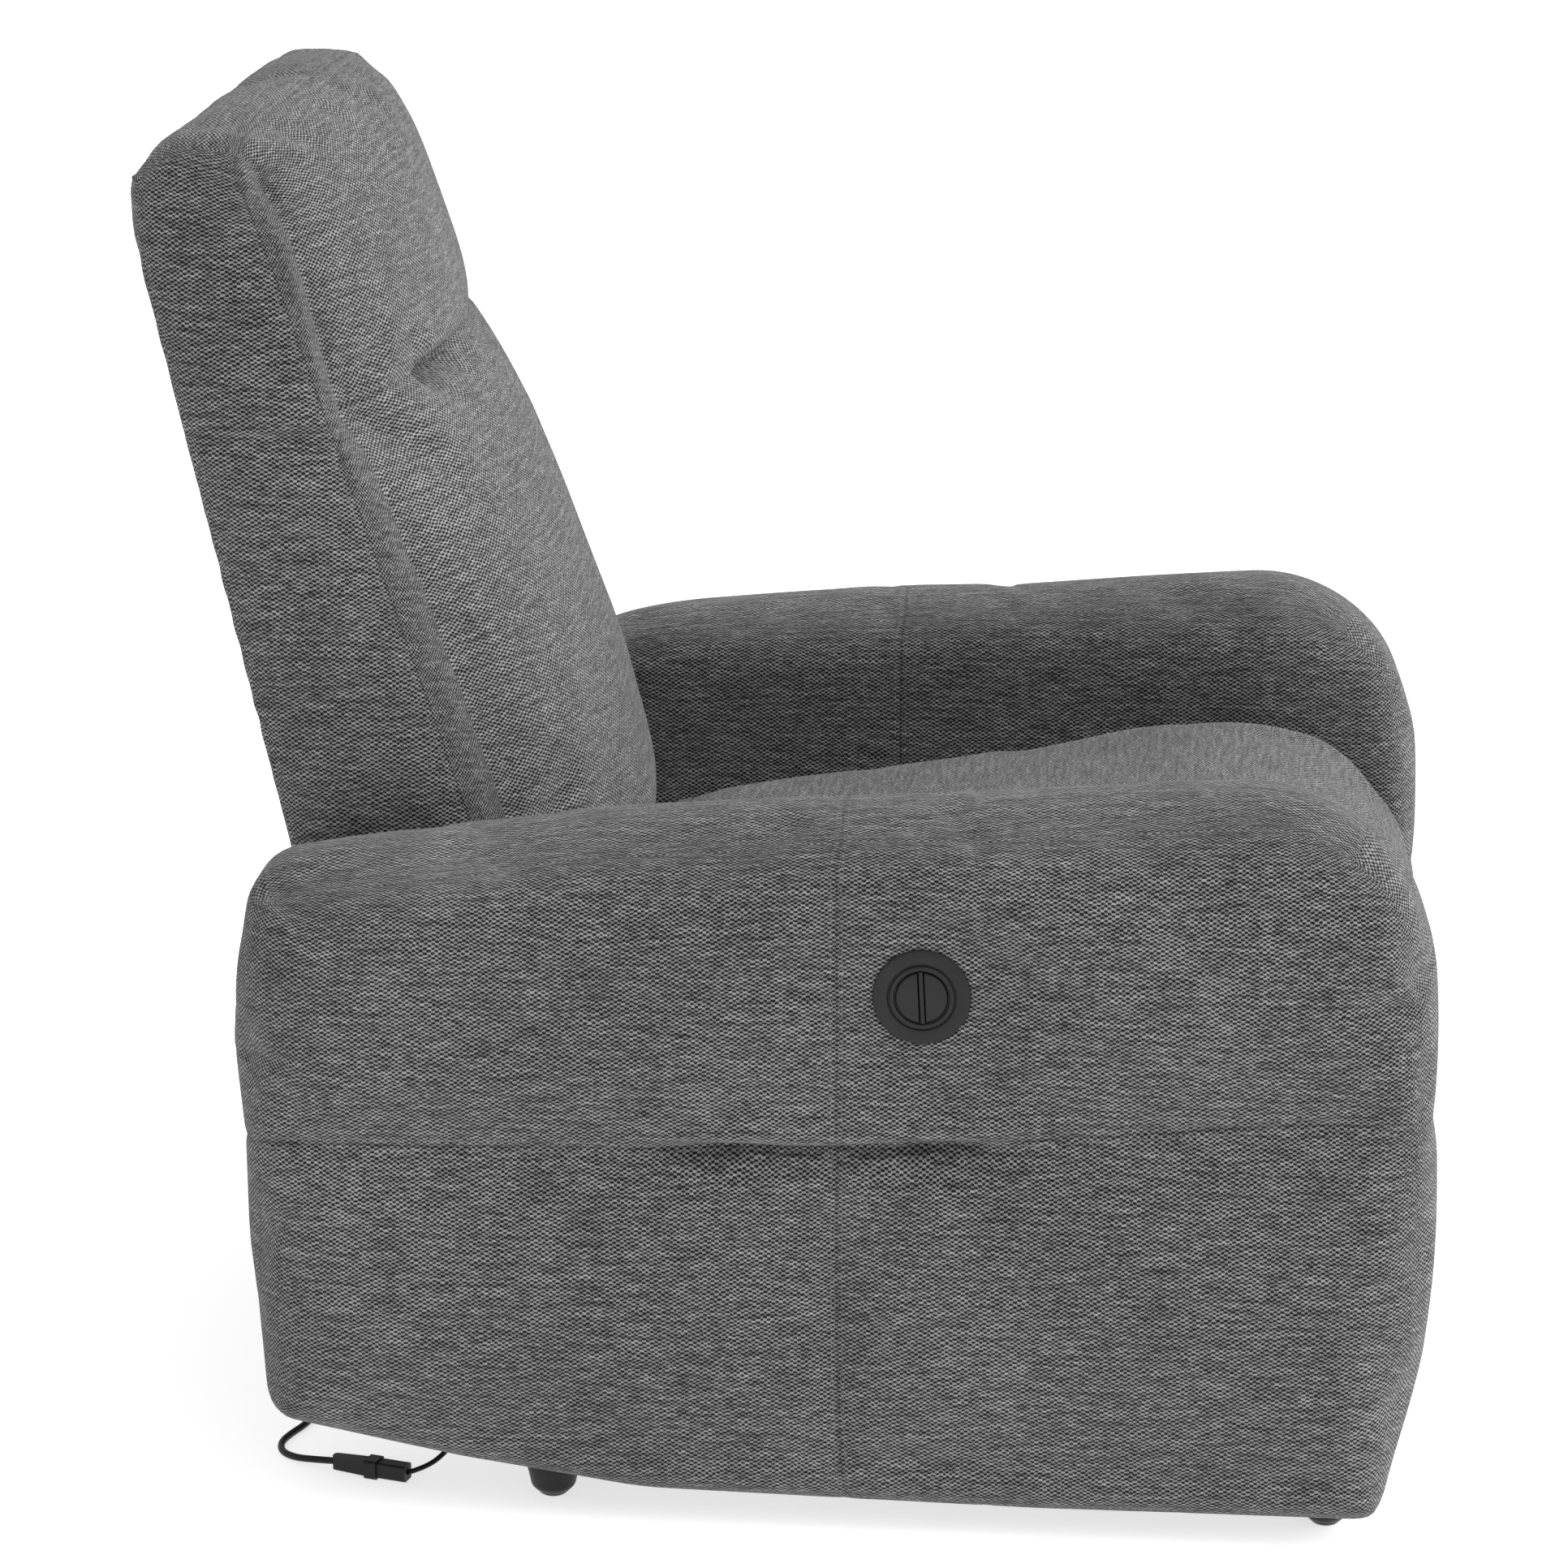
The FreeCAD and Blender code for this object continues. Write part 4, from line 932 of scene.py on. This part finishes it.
def coil_points():
    """Three turns inwards on the floor and two and a half outwards on top of them, clockwise."""
    lane = 2 * SUPPLY_R
    points = []
    for n in range(int(TURNS_ALL * COIL_PER_TURN) + 1):
        turn = n / COIL_PER_TURN
        r = COIL_OUTER - lane * turn if turn <= TURNS_LOW else COIL_INNER + lane * (turn - TURNS_LOW)
        lift = min(1.0, max(0.0, (turn - TURNS_LOW + 0.25) / 0.5))
        a = math.pi - 2 * math.pi * turn
        x = COIL_CENTRE[0] + r * COIL_POLYGON * math.cos(a)
        y = COIL_CENTRE[1] + r * COIL_POLYGON * math.sin(a)
        points.append((x, y, COIL_CLEAR + SUPPLY_R + lift * COIL_LIFT))
    return points


def make_cords():
    lead = cord_curve("chair_lead_cable", CHAIR_LEAD, CHAIR_R)
    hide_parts("chair_lead")
    route = SUPPLY_LEAD + coil_points() + TAIL_LEAD
    supply = cord_curve("supply_cable", route, SUPPLY_R)
    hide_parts("supply_lead", "supply_coil")


# ---- switch, with profiles in mm ---------------------------------------------------------------
SWITCH_TURN = math.radians(3.0)
SHARP_ANGLE = math.radians(40)
RING_PARTS, CAP_PARTS = 128, 48
RING = [(36.0, -1.2), (36.0, 0.9), (35.7, 1.5), (35.0, 2.0), (33.8, 2.2), (26.2, 2.2), (25.6, 2.0),
        (25.2, 1.4), (25.0, 0.6), (24.0, 0.6), (23.8, 1.8), (23.4, 2.7), (22.8, 3.0), (21.4, 3.0),
        (20.9, 2.7), (20.6, 2.0), (20.5, 0.2), (19.35, 0.2), (19.35, -1.2)]      # radius, out
RIB = [(-1.7, -1.2), (-1.7, 2.0), (-1.3, 2.7), (-0.6, 3.0), (0.6, 3.0), (1.3, 2.7), (1.7, 2.0), (1.7, -1.2)]
RIB_HALF = 19.6
CAP_R, CAP_FLAT, CAP_MIDDLE = 18.9, 2.5, 8.8    # a half-moon: its radius, its flat side's place, its middle
CAP_LAYERS = [(1.0, -8.5), (1.0, 1.6), (0.985, 2.3), (0.94, 2.8), (0.86, 3.0), (0.5, 2.95), (0.15, 2.9)]


def switch_point(across, up, out):
    """A place on the switch: across and up in its own turned frame, out from the arm's face; all in mm."""
    across, up, out = across * MM, up * MM, out * MM
    x = SWITCH_X + across * math.cos(SWITCH_TURN) - up * math.sin(SWITCH_TURN)
    z = SWITCH_Z + across * math.sin(SWITCH_TURN) + up * math.cos(SWITCH_TURN)
    return (x, -ARM_OUT - out, z)


def new_piece(name, verts, faces, body, node):
    mesh = bpy.data.meshes.new(name)
    mesh.from_pydata(verts, [], faces)
    work = bmesh.new()
    work.from_mesh(mesh)
    bmesh.ops.recalc_face_normals(work, faces=work.faces)
    work.to_mesh(mesh)
    work.free()
    mesh.polygons.foreach_set("use_smooth", [True] * len(mesh.polygons))
    mesh.set_sharp_from_angle(angle=SHARP_ANGLE)
    mesh.materials.append(MATERIALS["switch"])
    piece = add_object(name, mesh)
    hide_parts(node)
    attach(piece, body)
    return piece


def lathe(profile):
    """A closed ring: the profile turned about the switch's middle."""
    verts, faces = [], []
    size = len(profile)
    for n in range(RING_PARTS):
        a = 2 * math.pi * n / RING_PARTS
        verts += [switch_point(radius * math.cos(a), radius * math.sin(a), out) for radius, out in profile]
    for n in range(RING_PARTS):
        here, beyond = n * size, (n + 1) % RING_PARTS * size
        for m in range(size):
            after = (m + 1) % size
            faces.append((here + m, here + after, beyond + after, beyond + m))
    return verts, faces


def make_switch():
    verts, faces = lathe(RING)
    # the upright rib between the two buttons is a long bar with a rounded top
    start = len(verts)
    for up in (-RIB_HALF, RIB_HALF):
        verts += [switch_point(across, up, out) for across, out in RIB]
    size = len(RIB)
    faces += [tuple(start + m for m in range(size)), tuple(start + size + m for m in reversed(range(size)))]
    for m in range(size):
        n = (m + 1) % size
        faces.append((start + m, start + size + m, start + size + n, start + n))
    new_piece("switch_bezel", verts, faces, "chair_base", "button_bezel")
    reach = math.acos(CAP_FLAT / CAP_R)
    turns = [-reach + 2 * reach * n / CAP_PARTS for n in range(CAP_PARTS + 1)]
    size = len(turns)
    for node, body, sign in (("open_button", "open_switch", 1), ("close_button", "close_switch", -1)):
        edge = [(sign * CAP_R * math.cos(a), CAP_R * math.sin(a)) for a in turns]
        middle = sign * CAP_MIDDLE
        verts, faces = [], []
        for scale, out in CAP_LAYERS:
            verts += [switch_point(middle + (u - middle) * scale, v * scale, out) for u, v in edge]
        for m in range(len(CAP_LAYERS) - 1):
            for n in range(size):
                p, q = m * size + n, m * size + (n + 1) % size
                faces.append((p, q, q + size, p + size))
        faces.append(tuple(range(size)))
        faces.append(tuple(reversed(range(len(verts) - size, len(verts)))))
        new_piece(node + "_cap", verts, faces, body, node)


# ---- the frame's own parts ---------------------------------------------------------------------
MATERIAL_OF_SLOT = {
    "wood": "wood", "plywood": "plywood", "black_plastic": "plastic", "switch_plastic": "switch",
    "circuit_board": "board", "mechanism_steel": "paint", "bright_steel": "zinc", "spring_steel": "spring",
    "motor_paint": "motor", "lead_black": "plastic", "fabric": "fabric",
}


def dress_frame():
    """Give every CAD part its material, by its slot in the record."""
    for row in frame["record"]["subparts"]:
        piece = NODES[row["node"]]
        material = MATERIALS[MATERIAL_OF_SLOT[row["material_slot"]]]
        if not piece.material_slots:
            piece.data.materials.append(material)
        for place in piece.material_slots:
            place.material = material


MATERIALS = {
    "fabric": fabric_material(),
    "plastic": plastic_material("black_plastic", 0.018, 0.42),
    "switch": plastic_material("switch_plastic", 0.017, 0.50, grain=1600.0),
    "cable": plastic_material("cable_jacket", 0.013, 0.45, grain=1200.0),
    "board": plastic_material("circuit_board", 0.06, 0.4),
    "paint": steel_material("black_paint", 0.030, 0.1, 0.45),
    "zinc": steel_material("zinc_plate", 0.62, 1.0, 0.35),
    "spring": steel_material("spring_wire", 0.30, 1.0, 0.4),
    "motor": steel_material("motor_paint", 0.045, 0.2, 0.4),
    "wood": wood_material("softwood", (0.62, 0.44, 0.25), (0.42, 0.26, 0.13)),
    "plywood": wood_material("plywood", (0.60, 0.43, 0.26), (0.38, 0.24, 0.13), layered=True),
}

make_camera()
make_cords()
make_studio()
dress_frame()
make_switch()
make_arms()
make_seat()
make_back()
make_back_skirt()
make_footrest()
